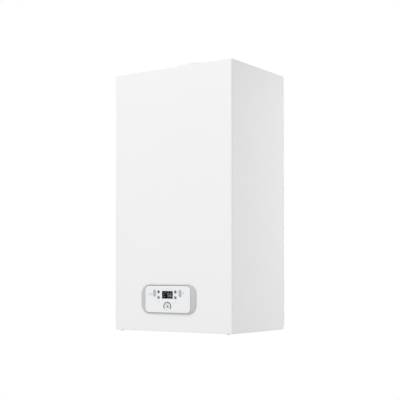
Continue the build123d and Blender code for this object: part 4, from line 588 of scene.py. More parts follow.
def repeatTree():
    tree = bpy.data.node_groups.new("repeatPiece", "GeometryNodeTree")
    for label, kind in (
        ("Geometry", "Geometry"), ("Count", "Int"), ("Step", "Vector"), ("Radius", "Float"),
        ("Start", "Float"), ("Turn", "Float"), ("Finish", "Material"),
    ):
        tree.interface.new_socket(label, in_out="INPUT", socket_type="NodeSocket" + kind)
    tree.interface.new_socket("Geometry", in_out="OUTPUT", socket_type="NodeSocketGeometry")

    def add(kind, settings=None, inputs=None):
        made = tree.nodes.new(kind)
        for key, value in (settings or {}).items():
            setattr(made, key, value)
        for key, value in (inputs or {}).items():
            if isinstance(value, bpy.types.NodeSocket):
                tree.links.new(value, made.inputs[key])
            else:
                made.inputs[key].default_value = value
        return made

    given = add("NodeGroupInput").outputs
    index = add("GeometryNodeInputIndex").outputs[0]
    turned = add("ShaderNodeMath", {"operation": "MULTIPLY"}, {0: index, 1: given["Turn"]}).outputs[0]
    angle = add("ShaderNodeMath", {"operation": "ADD"}, {0: turned, 1: given["Start"]}).outputs[0]
    cosine = add("ShaderNodeMath", {"operation": "COSINE"}, {0: angle}).outputs[0]
    sine = add("ShaderNodeMath", {"operation": "SINE"}, {0: angle}).outputs[0]
    across = add("ShaderNodeMath", {"operation": "MULTIPLY"}, {0: cosine, 1: given["Radius"]}).outputs[0]
    up = add("ShaderNodeMath", {"operation": "MULTIPLY"}, {0: sine, 1: given["Radius"]}).outputs[0]
    place = add("ShaderNodeCombineXYZ", {}, {0: across, 1: up}).outputs[0]
    line = add("GeometryNodeMeshLine", {}, {"Count": given["Count"], "Offset": given["Step"]}).outputs[0]
    moved = add("GeometryNodeSetPosition", {}, {"Geometry": line, "Offset": place}).outputs[0]
    spin = add("ShaderNodeCombineXYZ", {}, {2: angle}).outputs[0]
    turn = add("FunctionNodeEulerToRotation", {}, {0: spin}).outputs[0]
    copies = add("GeometryNodeInstanceOnPoints", {}, {
        "Points": moved, "Instance": given["Geometry"], "Rotation": turn,
    }).outputs[0]
    real = add("GeometryNodeRealizeInstances", {}, {"Geometry": copies}).outputs[0]
    painted = add("GeometryNodeSetMaterial", {}, {"Geometry": real, "Material": given["Finish"]}).outputs[0]
    add("NodeGroupOutput", {}, {0: painted})
    return tree


repeater = repeatTree()


# The template is drawn round the middle of the plane "top"; the copies then stand on the plane asked for.
def addCopies(name, template, body, slotName, plane="top", origin=(0, 0, 0), count=2, step=(0, 0, 0),
              radius=0.0, start=0.0, turn=0.0, smooth=32):
    mesh = finishMesh(template, name + "One", slotName, smooth)
    host = bpy.data.objects.new(name + "Host", mesh)
    bpy.context.scene.collection.objects.link(host)
    nodes = host.modifiers.new("copies", "NODES")
    nodes.node_group = repeater
    values = {
        "Count": count,
        "Step": [s * mm for s in step],
        "Radius": radius * mm,
        "Start": math.radians(start),
        "Turn": math.radians(turn),
        "Finish": finishes[slotName],
    }
    for item in repeater.interface.items_tree:
        if item.in_out == "INPUT" and item.name in values:
            nodes[item.identifier] = values[item.name]
    graph = bpy.context.evaluated_depsgraph_get()
    made = bpy.data.meshes.new_from_object(host.evaluated_get(graph))
    made.name = name
    bpy.data.objects.remove(host)
    across, up, out = axes[plane]
    stand = Matrix((across, up, out)).transposed().to_4x4()
    stand.translation = spot(*origin)
    made.transform(stand)
    if stand.determinant() < 0:
        made.flip_normals()
    shadeMesh(made, smooth)
    return addMesh(made, body, slotName)


def fullTurn(count):  # as many copies, spread over the whole circle
    return {"count": count, "turn": 360 / count}


# --- control panel: what the photo shows ---

casing = span("outer_casing")
bezelReach = span("casing_bezel")
panel = {"x": middle(bezelReach["x"]), "z": middle(bezelReach["z"]), "front": casing["depth"][1] + 6.0}


def panelBezel():
    bezel = {
        "outer": (182.9, 79.8, 26.0),  # width, height and corner radius
        "crest": (155.5, 77.0, 15.0),
        "opening": (153.1, 74.6, 13.8),
        "edge": 2.4,
        "gap": 0.8,
        "proud": 5.4,
        "roll": 0.6,
        "seat": -1.4,
    }
    edge, gap, proud, roll, seat = (bezel[key] for key in ("edge", "gap", "proud", "roll", "seat"))
    shape = Shape("front", (panel["x"], casing["depth"][1], panel["z"]))

    def between(share, first, second):
        return roundedLoop(*[a + (b - a) * share for a, b in zip(bezel[first], bezel[second])], 16)

    def outside(share, height):  # share 0 lies on the crest, 1 on the outer edge
        return between(share, "crest", "outer"), height

    stages = [outside(0, seat), outside(0.02, 0.02)]
    stages += [outside(0.84, 0.02), outside(0.84, gap)]  # a shadow gap under the outer edge
    stages += [outside(0.99, gap), outside(1, gap + 0.2)]
    stages += [outside(1, edge - 0.5), outside(0.995, edge - 0.15)]
    for share in (0.98, 0.9, 0.7, 0.5, 0.3, 0.1, 0.03):  # a faint swell on the way up
        swell = 0.35 * math.sin(math.pi * share)
        stages.append(outside(share, edge + (proud - edge) * (1 - share) + swell - 0.02))
    for turn in (15, 45, 75):
        share = 1 - math.sin(math.radians(turn))
        height = proud - roll * (1 - math.cos(math.radians(turn)))
        stages.append((between(0.5 + share / 2, "opening", "crest"), height))
    stages += [(between(0, "opening", "crest"), height) for height in (proud - roll, seat)]
    shape.loft(stages, closed=True)
    addPiece("bezelRing", shape, "casing", "bezel_grey", ("casing_bezel",), 40)


def panelDisplay():
    window = span("display_window")
    screen = {
        "size": (36.0, 20.5, 1.2),  # width, height and corner radius
        "glass": 0.1,
        "flange": 1.8,
        "shown": "56",
        "digit": (5.0, 9.4, 1.0),  # width, height and stroke
        "lean": 0.08,
        "firstDigit": 3.4,
        "digitStep": 8.0,
        "digitDrop": 1.0,
        "signRows": ((-14.0, -10.8, -7.6), (-14.0, -10.8), (-14.0, -9.4)),
        "signTop": 5.6,
        "signStep": 5.2,
        "topLine": (4.0, 8.0, 22.0),  # middle and length
    }
    x, front, z = middle(window["x"]), panel["front"], middle(window["z"])
    width, height, corner = screen["size"]
    flange = 2 * screen["flange"]
    shape = Shape("front", (x, front, z))
    shape.slab((width, height, corner), (-2.4, screen["glass"]), edge=0.12)
    shape.slab((width + flange, height + flange, corner + 1), (-4.0, -2.6), edge=0.2)
    addPiece("displayGlass", shape, "control_unit", "display_black", ("display_window",))
    segments = {
        "0": "abcdef", "1": "bc", "2": "abged", "3": "abgcd", "4": "fgbc",
        "5": "afgcd", "6": "afgcde", "7": "abc", "8": "abcdefg", "9": "abcdfg",
    }
    wide, tall, stroke = screen["digit"]
    bars = {  # each segment's middle, and whether it lies flat
        "a": (0, tall / 2, True), "g": (0, 0, True), "d": (0, -tall / 2, True),
        "f": (-wide / 2, tall / 4, False), "b": (wide / 2, tall / 4, False),
        "e": (-wide / 2, -tall / 4, False), "c": (wide / 2, -tall / 4, False),
    }
    lit = Shape("front", (x, front + screen["glass"], z))

    def bar(u, v, long, thick, flat=True):
        half = long / 2
        ends = [(-half, 0), (-half + thick / 2, thick / 2), (half - thick / 2, thick / 2), (half, 0)]
        ends += [(half - thick / 2, -thick / 2), (-half + thick / 2, -thick / 2)]
        points = ends if flat else [(b, a) for a, b in reversed(ends)]
        loop = [(u + a + (v + b) * screen["lean"], v + b) for a, b in points]
        lit.loft([(loop, 0.0), (loop, 0.03)])

    for place, digit in enumerate(screen["shown"]):
        for name in segments[digit]:
            u, v, flat = bars[name]
            u += screen["firstDigit"] + place * screen["digitStep"]
            bar(u, v - screen["digitDrop"], (wide if flat else tall / 2) - 0.4, stroke, flat)
    for row, signs in enumerate(screen["signRows"]):
        level = screen["signTop"] - screen["signStep"] * row
        for u in signs:
            bar(u, level, 1.9, 0.9)
            bar(u, level - 1.7, 1.3, 0.4)
    bar(*screen["topLine"], 0.35)
    addPiece("displayDigits", lit, "control_unit", "lcd_digits")


def panelKeys():
    key = {
        "size": (8.8, 18.6),
        "front": panel["front"] + 1.0,
        "thick": 5.5,
        "round": 0.9,
        "hollow": ((1.6, 0.12), (2.6, 0.28), (3.6, 0.35)),  # inset and depth
        "pinBack": 5.7,
        "pinRadius": 1.2,
        "pinHalf": 6.8,
        "arrow": (1.5, 5.0, 6.9),  # half width, foot and tip
    }
    wide, tall = key["size"]

    def outline(inset):
        return roundedLoop(wide - 2 * inset, tall - 2 * inset, wide / 2 - inset, 12)

    for side in ("left", "right"):
        reach = span("rocker_key_" + side)
        x, z = middle(reach["x"]), middle(reach["z"])
        shape = Shape("front", (x, key["front"], z))
        stages = [(outline(0), -key["thick"])]
        for turn in (0, 22, 45, 67, 90):
            a = math.radians(turn)
            stages.append((outline(key["round"] * (1 - math.cos(a))), -key["round"] * (1 - math.sin(a))))
        stages += [(outline(inset), -dip) for inset, dip in key["hollow"]]
        shape.loft(stages)
        shape.move("right", (x - key["pinHalf"], key["front"] - key["pinBack"], z))
        shape.disc(key["pinRadius"], (0, 2 * key["pinHalf"]), edge=0.2, steps=20)
        addPiece(side + "RockerKey", shape, "key_" + side, "key_grey", ("rocker_key_" + side,), 40)
        marks = Shape("front", (x, key["front"] - key["hollow"][-1][1], z))
        half, foot, point = key["arrow"]
        for up in (-1, 1):
            loop = [(-half, up * foot), (0, up * point), (half, up * foot)][::-up]
            marks.loft([(loop, 0.0), ([(u * 0.8, v) for u, v in loop], 0.25)])
        addPiece(side + "KeyArrows", marks, "key_" + side, "print_grey")


def panelButtons():
    button = {
        "radius": 2.8,
        "round": 0.7,
        "dish": 0.25,
        "flange": 4.2,
        "flangeHigh": 0.8,
        "stem": 1.5,
        "stemLong": 2.9,
        "rim": (3.15, 4.5, 0.16),  # inner and outer radius, height
        "marks": {"upper_left": 2.2, "lower_left": 0.5, "upper_right": 1.8, "lower_right": 1.3},
    }
    radius, edge, stem, flange = (button[key] for key in ("radius", "round", "stem", "flange"))
    inner, outer, proud = button["rim"]
    rims = Shape("front")
    for name, markRadius in button["marks"].items():
        reach = span("button_" + name)
        x, z, front = middle(reach["x"]), middle(reach["z"]), reach["depth"][1]
        end = reach["depth"][0] - front
        deep = end + button["stemLong"]
        top = deep + button["flangeHigh"]
        profile = [(stem, end), (stem, deep), (flange, deep), (flange, top), (radius, top)]
        for turn in (0, 30, 60, 90):
            a = math.radians(turn)
            profile.append((radius - edge * (1 - math.cos(a)), -edge * (1 - math.sin(a))))
        profile += [(radius - 1.2, -0.08), (0.9, -button["dish"]), (0.0, -button["dish"])]
        shape = Shape("front", (x, front, z)).lathe(profile, 32)
        words = name.split("_")
        label = words[0] + words[1].title()
        addPiece(label + "Button", shape, "button_" + name, "button_grey", ("button_" + name,), 40)
        mark = Shape("front", (x, front, z)).disc(markRadius, (-0.2, 0.04), edge=0.02, steps=28)
        addPiece(label + "Mark", mark, "button_" + name, "needle_dark")
        rims.move("front", (x, panel["front"], z)).lathe([
            (inner, -0.2), (inner, proud - 0.04), (inner + 0.06, proud),
            (outer - 0.4, proud), (outer, 0.0), (outer, -0.2),
        ], 48, closed=True)
    addPiece("buttonRims", rims, "control_unit", "print_grey")


def panelPrints():  # plain signs beside the keys and buttons, all of them only strokes and rings
    prints = {  # places are across and up from the panel's middle
        "thick": 0.04,
        "line": 0.55,
        "radiators": {"x": (-60.0, -53.1), "z": 13.0, "size": (4.4, 3.6), "line": 0.4},
        "ringPair": {"x": 53.5, "z": (19.1, 15.1), "radius": 1.5},
        "crosses": {"at": ((-27.7, -6.2), (27.4, -7.2)), "size": (3.6, 2.4)},
        "openRing": (20.4, -10.3, 1.3),
        "dashes": {"x": (-13.3, -4.7, 3.8, 12.3), "z": 28.3, "long": 4.6},
    }
    shape = Shape("front", (panel["x"], panel["front"], panel["z"]))
    line = prints["line"]

    def stroke(x, z, wide, tall):
        loop = roundedLoop(wide, tall, min(wide, tall) / 2.5, 3, (x, z))
        shape.loft([(loop, 0.0), (loop, prints["thick"])])

    def ringMark(x, z, radius, gap, steps=24):  # an open ring, its gap in degrees to the right
        turns = [math.radians(gap + (360 - 2 * gap) * i / steps) for i in range(steps + 1)]
        outer = [(x + radius * math.cos(t), z + radius * math.sin(t)) for t in turns]
        inner = [(x + (radius - line) * math.cos(t), z + (radius - line) * math.sin(t)) for t in turns]
        shape.loft([(outer + inner[::-1], w) for w in (0.0, prints["thick"])])

    sign = prints["radiators"]
    wide, tall = sign["size"]
    for x in sign["x"]:
        for z in (sign["z"] - tall / 2, sign["z"] + tall / 2):
            stroke(x, z, wide, sign["line"])
        for i in (-1, 0, 1):
            stroke(x + 1.3 * i, sign["z"], sign["line"], tall)
    for z in prints["ringPair"]["z"]:
        ringMark(prints["ringPair"]["x"], z, prints["ringPair"]["radius"], 20)
        stroke(prints["ringPair"]["x"], z, line, 1.6)
    wide, tall = prints["crosses"]["size"]
    for x, z in prints["crosses"]["at"]:
        stroke(x, z, wide, line)
        stroke(x, z, line, tall)
    ringMark(*prints["openRing"], 30)
    for x in prints["dashes"]["x"]:
        stroke(x, prints["dashes"]["z"], prints["dashes"]["long"], line)
    addPiece("panelPrints", shape, "control_unit", "print_grey")


def pressureGauge():
    lens = span("gauge_lens")
    gauge = {
        "dialDepth": 284.3,
        "arcRadius": 11.5,
        "arcWidth": 2.2,
        "arcProud": 0.6,
        "from": -35.0,
        "to": 215.0,
        "highest": 4,  # bar
        "ticksPerBar": 5,
        "needleAngle": 122.0,
        "needle": ((-2.6, 0.55), (-2.6, -0.55), (0, -0.5), (6.2, -0.22), (7.2, 0), (6.2, 0.22), (0, 0.5)),
        "counterweight": 2.9,
        "numberRadius": 4.6,
        "numberSize": 1.5,
    }
    x, z = middle(lens["x"]), middle(lens["z"])
    sweep = gauge["to"] - gauge["from"]
    arc = Shape("front", (x, panel["front"], z))
    half, proud, steps = gauge["arcWidth"] / 2 + 0.08, gauge["arcProud"], 64
    section = [(half, 0), (half, proud - 0.18), (half - 0.06, proud - 0.09), (0, proud)]
    section += [(-r, w) for r, w in reversed(section[:-1])]
    rings = []
    for i in range(steps + 1):
        turn = math.radians(gauge["from"] + sweep * i / steps)
        ring = []
        for r, w in section:
            radius = gauge["arcRadius"] + r
            ring.append(arc.point(radius * math.cos(turn), radius * math.sin(turn), w + 0.005))
        rings.append(ring)
    arc.skin(rings)
    addPiece("gaugeArc", arc, "control_unit", "arc_grey")
    face = (x, gauge["dialDepth"] + 0.01, z)
    tick = Shape("top").slab((1.2, 0.2, 0.05), (0, 0.03), edge=0.01, centre=(7.6, 0), cornerSteps=2)
    ticks = gauge["highest"] * gauge["ticksPerBar"]
    addCopies("gaugeTicks", tick, "control_unit", "print_grey", "front", face,
              count=ticks + 1, start=gauge["from"], turn=sweep / ticks)
    tick = Shape("top").slab((1.8, 0.3, 0.1), (0, 0.04), edge=0.01, centre=(7.3, 0), cornerSteps=2)
    addCopies("gaugeLongTicks", tick, "control_unit", "needle_dark", "front", face,
              count=gauge["highest"] + 1, start=gauge["from"], turn=sweep / gauge["highest"])
    turn = math.radians(gauge["needleAngle"])
    along, across = (math.cos(turn), math.sin(turn)), (-math.sin(turn), math.cos(turn))
    loop = [(a * along[0] + b * across[0], a * along[1] + b * across[1]) for a, b in gauge["needle"]]
    needle = Shape("front", (x, span("gauge_needle")["depth"][0], z)).loft([(loop, 0.15), (loop, 0.32)])
    needle.disc(2.3, (0.02, 0.5), edge=0.2, steps=28)
    tail = (-gauge["counterweight"] * along[0], -gauge["counterweight"] * along[1])
    needle.disc(1.4, (0.05, 0.42), edge=0.1, steps=24, centre=tail)
    addPiece("needlePointer", needle, "needle", "needle_dark", ("gauge_needle",))
    for value in range(gauge["highest"] + 1):
        turn = math.radians(gauge["to"] - sweep * value / gauge["highest"])
        across, up = gauge["numberRadius"] * math.cos(turn), gauge["numberRadius"] * math.sin(turn)
        addDigit("dialNumber" + str(value), str(value), (x + across, face[1], z + up), gauge["numberSize"])


def addDigit(name, text, where, size):
    curve = bpy.data.curves.new(name, "FONT")
    curve.body = text
    curve.size = size * mm
    curve.extrude = 0.015 * mm
    curve.align_x = "CENTER"
    curve.align_y = "CENTER"
    carrier = bpy.data.objects.new(name + "Text", curve)
    bpy.context.scene.collection.objects.link(carrier)
    graph = bpy.context.evaluated_depsgraph_get()
    made = bpy.data.meshes.new_from_object(carrier.evaluated_get(graph))
    made.name = name
    bpy.data.objects.remove(carrier)
    stand = Matrix.Rotation(math.radians(90), 4, "X")
    stand.translation = spot(*where)
    made.transform(stand)
    made.materials.clear()
    made.materials.append(finishes["needle_dark"])
    addMesh(made, "control_unit", "needle_dark")


panelBezel()
panelDisplay()
panelKeys()
panelButtons()
panelPrints()
pressureGauge()
print("control panel made")


# --- works behind the casing: detail on and round the CAD pieces ---

tailDepth = middle(span("connection_tails")["depth"])
chassis = {
    "back": span("bottom_tray")["depth"][0],
    "top": span("top_panel")["z"][1],
    "collarFlange": span("top_panel")["z"][1] + 4.0,
    "trayUnder": -651.2,
}
waterPipe = {"radius": 11.0, "depth": middle(span("flow_pipe")["depth"])}
waterPipe["flow"] = span("flow_pipe")["x"][0] + waterPipe["radius"]
waterPipe["return"] = span("return_pipe")["x"][1] - waterPipe["radius"]


def fanAndMotor():
    fan = {
        "foot": 37.2,
        "waist": 33.5,
        "crown": 36.6,
        "hub": 24.0,
        "fins": 28,
        "plug": (20, 12, 1.5),  # width, height and corner radius
        "plugDrop": 30.0,
        "screws": {"count": 5, "radius": 57.0, "start": 198.0, "turn": 48.0},
        "step": (41.0, 47.0, 2.0),  # inner and outer radius, height
    }
    can = span("fan_motor")
    x, rear, z = middle(can["x"]), can["depth"][0], middle(can["z"])
    deep = can["depth"][1] - rear
    motor = Shape("front", (x, rear, z)).lathe([
        (fan["foot"], -0.2), (fan["foot"], 3), (fan["waist"], 4), (fan["waist"], deep - 7),
        (fan["crown"], deep - 5.5), (fan["crown"], deep - 2), (35.0, deep - 0.5),
        (fan["hub"], deep - 0.4), (fan["hub"] - 2, deep - 1.8), (12, deep - 1.8),
        (10.5, deep - 0.6), (6, deep - 0.6), (0, deep - 0.6),
    ], 64)
    addPiece("fanMotorCan", motor, "root", "fan_black", ("fan_motor",))
    fin = Shape("top").slab((3.6, 1.4, 0.3), (3.5, deep - 6), edge=0.2, centre=(34.6, 0), cornerSteps=2)
    addCopies("fanMotorFins", fin, "root", "fan_black", "front", (x, rear, z), **fullTurn(fan["fins"]))
    plug = Shape("front", (x, rear, z - fan["plugDrop"])).slab(fan["plug"], (2, 16), edge=0.6)
    addPiece("fanPlug", plug, "root", "motor_black")
    boss = Shape("top").disc(5.0, (-6, 1.6), edge=0.5, steps=28)
    addCopies("fanBosses", boss, "root", "fan_casting", "front", (x, rear, z), **fan["screws"])
    head = Shape("top").hexagon(7.0, (1.6, 5.0), edge=0.6).disc(4.6, (1.4, 2.1), edge=0.2, steps=28)
    addCopies("fanScrews", head, "root", "screw_steel", "front", (x, rear, z), **fan["screws"])
    inner, outer, high = fan["step"]
    step = Shape("front", (x, rear, z)).lathe([
        (inner, -0.3), (inner, high - 0.6), (inner + 1, high),
        (outer - 1, high), (outer, high - 0.6), (outer, -0.3),
    ], 64, closed=True)
    addPiece("fanStep", step, "root", "fan_casting")


def exchangerAndDoor():
    unit = {
        "shellRadius": 95.0,
        "hoops": (52.0, 74.0, 126.0, 148.0, 170.0),
        "hoopWidth": 4.0,
        "hoopProud": 2.6,
        "ribs": {"count": 9, "start": -48.0, "turn": 34.0},
        "rim": (86.5, 90.5, 2.6),  # inner and outer radius, height
        "sightRadius": 60.0,
        "sightAngle": 62.0,
        "sealLow": 4.0,  # above the flue pipe's lower end
    }
    pad = span("door_insulation")
    x, z, front = middle(pad["x"]), middle(pad["z"]), span("door_nuts")["depth"][0]
    hoops = Shape("front", (x, 0, z))
    half, low = unit["hoopWidth"] / 2, unit["shellRadius"] - 0.4
    proud = unit["shellRadius"] + unit["hoopProud"]
    for depth in unit["hoops"]:
        hoops.lathe([
            (low, depth - half), (proud - 0.6, depth - half + 0.2), (proud, depth - half + 0.9),
            (proud, depth + half - 0.9), (proud - 0.6, depth + half - 0.2), (low, depth + half),
        ], 96, closed=True)
    addPiece("shellHoops", hoops, "root", "shell_composite")
    spoke = Shape("top").slab((44.0, 3.4, 1.2), (-0.3, 2.8), edge=0.9, centre=(66.0, 0), cornerSteps=4)
    addCopies("doorRibs", spoke, "root", "door_casting", "front", (x, front, z), **unit["ribs"])
    inner, outer, high = unit["rim"]
    rim = Shape("front", (x, front, z)).lathe([
        (inner, -0.3), (inner, high - 0.8), (inner + 0.9, high),
        (outer - 0.9, high), (outer, high - 0.8), (outer, -0.3),
    ], 96, closed=True)
    addPiece("doorRim", rim, "root", "door_casting")
    turn = math.radians(unit["sightAngle"])
    centre = (unit["sightRadius"] * math.cos(turn), unit["sightRadius"] * math.sin(turn))
    ring = [(9.5, -0.3), (9.5, 3.6), (8.6, 4.4), (6.4, 4.4), (5.8, 3.8), (5.8, 2.6), (0, 2.6)]
    addPiece("sightGlass", Shape("front", (x, front, z)).lathe(ring, 40, centre), "root", "door_casting")
    lens = Shape("front", (x, front, z)).disc(5.7, (2.5, 2.9), edge=0.1, steps=32, centre=centre)
    addPiece("sightLens", lens, "root", "display_black")
    pipe = span("flue_pipe")
    seal = Shape("top", (middle(pipe["x"]), middle(pipe["depth"]), pipe["z"][0] + unit["sealLow"]))
    seal.lathe([
        (31.6, -3), (33.8, -2), (34.4, 0), (34.4, 7), (33.8, 10),
        (31.6, 11.5), (29.0, 12.0), (28.6, 12.0), (28.6, -3),
    ], 56, closed=True)
    addPiece("flueSeal", seal, "root", "rubber_black")


def gasTrain():
    valve = {
        "bodyFront": 191.0,
        "coilX": 16.0,
        "coilZ": -494.0,
        "capRadius": 9.0,
        "nutFlats": 8.0,
        "plugFront": 207.0,
        "plugDrop": 20.0,
        "screwX": 26.0,
        "screwRows": (("Low", -524.0), ("High", -465.0)),
        "nipple": (143.0, -476.0),  # depth and z
    }
    reach = span("gas_valve")
    x, side, coilFront = middle(reach["x"]), reach["x"][1], reach["depth"][1]
    front, z = valve["bodyFront"], valve["coilZ"]
    caps = Shape("front", (x, coilFront, z))
    nuts = Shape("front", (x, coilFront, z))
    sleeves = Shape("front", (x, front, z))
    for coil in (-valve["coilX"], valve["coilX"]):
        caps.disc(valve["capRadius"], (-0.2, 3.0), edge=1.0, steps=36, centre=(coil, 0))
        nuts.hexagon(valve["nutFlats"], (2.6, 6.4), edge=0.7, centre=(coil, 0), start=15.0)
        sleeves.lathe([
            (13.9, 1.0), (14.8, 2.0), (14.8, 5.0), (14.1, 6.0),
            (14.1, 24.0), (14.8, 25.0), (14.8, 28.5), (13.9, 29.5),
        ], 44, (coil, 0))
    addPiece("coilCaps", caps, "root", "motor_black")
    addPiece("coilNuts", nuts, "root", "brass")
    addPiece("coilSleeves", sleeves, "root", "knob_blue")
    plug = Shape("front", (x, valve["plugFront"], z - valve["plugDrop"]))
    plug.slab((24, 9, 1.2), (-16, 8), edge=0.6)
    addPiece("valvePlug", plug, "root", "motor_black")
    for place, level in valve["screwRows"]:
        screw = Shape("top").disc(3.4, (-0.4, 2.2), edge=0.7, steps=28)
        addCopies("valveScrews" + place, screw, "root", "screw_steel", "front",
                  (x - valve["screwX"], front, level), count=2, step=(2 * valve["screwX"], 0, 0))
    regulator = Shape("right", (side, middle((reach["depth"][0], front)), z))
    regulator.disc(10.0, (-0.5, 5.0), edge=1.0, steps=36).hexagon(12.0, (4.8, 9.0), edge=0.8)
    addPiece("valveRegulator", regulator, "root", "brass")
    nipple = Shape("right", (side, *valve["nipple"])).lathe([
        (5, -0.4), (5, 3), (3.2, 3.6), (3.2, 9), (4.0, 10), (3.4, 12), (1.2, 12), (1.2, 8), (0, 8),
    ], 28)
    addPiece("testNipple", nipple, "root", "screw_steel")


def unionNuts():
    joint = {
        "nuts": (  # place, size across the flats and height
            ((0.0, 158.0, -452.0), 27.0, 13.0),
            ((0.0, tailDepth, span("gas_pipe")["z"][0]), 27.0, 14.0),
            ((waterPipe["flow"], waterPipe["depth"], -592.0), 28.0, 13.0),
            ((waterPipe["return"], waterPipe["depth"], -514.0), 28.0, 13.0),
        ),
        "beads": (
            (waterPipe["flow"], waterPipe["depth"], -300.0),
            (waterPipe["return"], waterPipe["depth"], -330.0),
        ),
        "beadProud": 1.2,
    }
    nuts = Shape("top")
    for where, flats, high in joint["nuts"]:
        nuts.move("top", where).hexagon(flats, (0, high * 0.72), edge=1.2)
        nuts.lathe([
            (flats * 0.46, high * 0.7), (flats * 0.46, high * 0.86), (flats * 0.42, high), (6.0, high),
        ], 36)
    addPiece("unionNuts", nuts, "root", "brass")
    beads = Shape("top")
    low, proud = waterPipe["radius"] - 0.1, waterPipe["radius"] + joint["beadProud"]
    for where in joint["beads"]:
        beads.move("top", where).lathe([
            (low, -4), (proud - 0.4, -3.4), (proud, 0), (proud - 0.4, 3.4), (low, 4),
        ], 36)
    addPiece("pipeBeads", beads, "root", "copper")


def pumpDetail():
    pump = {
        "deep": 61.0,
        "foot": 41.8,
        "waist": 38.5,
        "crown": 40.5,
        "plate": 43.6,
        "plateFront": 135.0,
        "plateRise": 35.0,
        "ribs": {"count": 15, "start": 138.0, "turn": 18.0},
        "screws": {"count": 4, "radius": 36.6, "start": 225.0, "turn": 30.0},
        "lidFront": 179.8,
        "lidRise": 43.0,
    }
    motor, rotor = span("pump_motor"), span("pump_rotor")
    x, rear, z = middle(motor["x"]), motor["depth"][0], middle(rotor["z"])
    deep, foot, waist, crown = (pump[key] for key in ("deep", "foot", "waist", "crown"))
    can = Shape("front", (x, rear, z)).lathe([
        (foot - 1, 0), (foot, 1), (foot, 6), (waist, 8), (waist, deep - 10), (crown, deep - 8),
        (crown, deep - 3), (waist, deep - 0.6), (32, deep), (30.5, deep + 3.4), (28.5, deep + 4),
        (9, deep + 4), (8, deep + 3), (7.4, deep + 3.9), (0, deep + 3.9),
    ], 72)
    can.move("front", (x, pump["plateFront"], z + pump["plateRise"]))
    can.slab((pump["plate"], pump["plate"], 3), (0.2, 44.8), edge=1.4)
    addPiece("pumpCan", can, "root", "motor_grey", ("pump_motor",))
    rib = Shape("top").slab((3.6, 1.8, 0.5), (7.5, deep - 9.5), edge=0.3, centre=(39.6, 0), cornerSteps=2)
    addCopies("pumpRibs", rib, "root", "motor_grey", "front", (x, rear, z), **pump["ribs"])
    lid = Shape("front", (x, pump["lidFront"], z + pump["lidRise"])).slab((38, 24, 2.5), (0, 2.6), edge=0.8)
    addPiece("pumpLid", lid, "root", "motor_black")
    # a dark plate across the bleed screw's end: painted shade of its slot, which is not cut
    slot = Shape("front", (x, rear + deep + 3.9, z)).slab((11.0, 1.6, 0.5), (-0.2, 0.25), edge=0.1)
    addPiece("bleedSlotShade", slot, "root", "motor_black")
    screw = Shape("top").disc(3.4, (-0.3, 2.4), edge=0.6, steps=28)
    addCopies("pumpScrews", screw, "root", "screw_steel", "front", (x, rear + 6.5, z), **pump["screws"])


def ventAndDiverter():
    vent = {"x": 108.0, "tall": 30.0, "radius": 12.0, "capRadius": 6.2, "grips": 14}
    tall, radius, cap = vent["tall"], vent["radius"], vent["capRadius"]
    where = (vent["x"], waterPipe["depth"], span("return_block")["z"][1] - tall)
    body = Shape("top", where).lathe([
        (radius - 0.2, 0), (radius, 1), (radius, tall - 11), (radius - 1, tall - 9), (8.4, tall - 8),
        (8.4, tall - 6), (cap, tall - 5.6), (cap, tall - 1), (5, tall), (0, tall),
    ], 40)
    addPiece("ventBody", body, "root", "brass")
    grip = Shape("top")
    grip.slab((1.4, 1.2, 0.3), (tall - 5.4, tall - 0.6), edge=0.2, centre=(cap + 0.2, 0), cornerSteps=2)
    addCopies("ventGrips", grip, "root", "brass", "top", where, **fullTurn(vent["grips"]))
    head = {"radius": 22.0, "waist": 20.6, "plugOut": 16.0, "plugRise": 17.0}
    reach = span("diverter_motor")
    x, low = middle(reach["x"]), reach["z"][0]
    tall, radius, waist = reach["z"][1] - low, head["radius"], head["waist"]
    motor = Shape("top", (x, tailDepth, low)).lathe([
        (radius - 0.8, 0), (radius, 0.8), (radius, 7), (waist, 8.4), (waist, tall - 9), (radius, tall - 7.6),
        (radius, tall - 2.4), (20, tall - 0.4), (6, tall), (5.2, tall - 0.8), (0, tall - 0.8),
    ], 56)
    motor.move("front", (x, tailDepth + head["plugOut"], low + head["plugRise"]))
    motor.slab((16, 18, 1.2), (0, 14), edge=0.6)
    addPiece("diverterHead", motor, "root", "motor_black", ("diverter_motor",))
    clip = Shape("top", (x, tailDepth, low - 1.6))
    clip.lathe([(22.6, 0), (23.6, 0.4), (23.6, 1.6), (22.6, 2.0)], 56, closed=True)
    addPiece("diverterClip", clip, "root", "screw_steel")


def threadedTail(shape, tail, threadRadius, bodyRadius):
    bore, root = bodyRadius - 3.0, threadRadius - 0.58 * tail["pitch"]
    first = tail["end"] + 0.5
    turns = int((tail["threadTop"] - first - 1.0) / tail["pitch"])
    profile = [(bore, tail["top"]), (bore, tail["end"]), (root, tail["end"])]
    for i in range(turns):
        low = first + tail["pitch"] * i
        profile += [(root, low)] + [(threadRadius, low + share * tail["pitch"]) for share in (0.42, 0.58)]
    last = first + tail["pitch"] * turns
    profile += [(root, last), (bodyRadius, last + 1.0), (bodyRadius, tail["top"])]
    shape.lathe(profile, 48, closed=True)


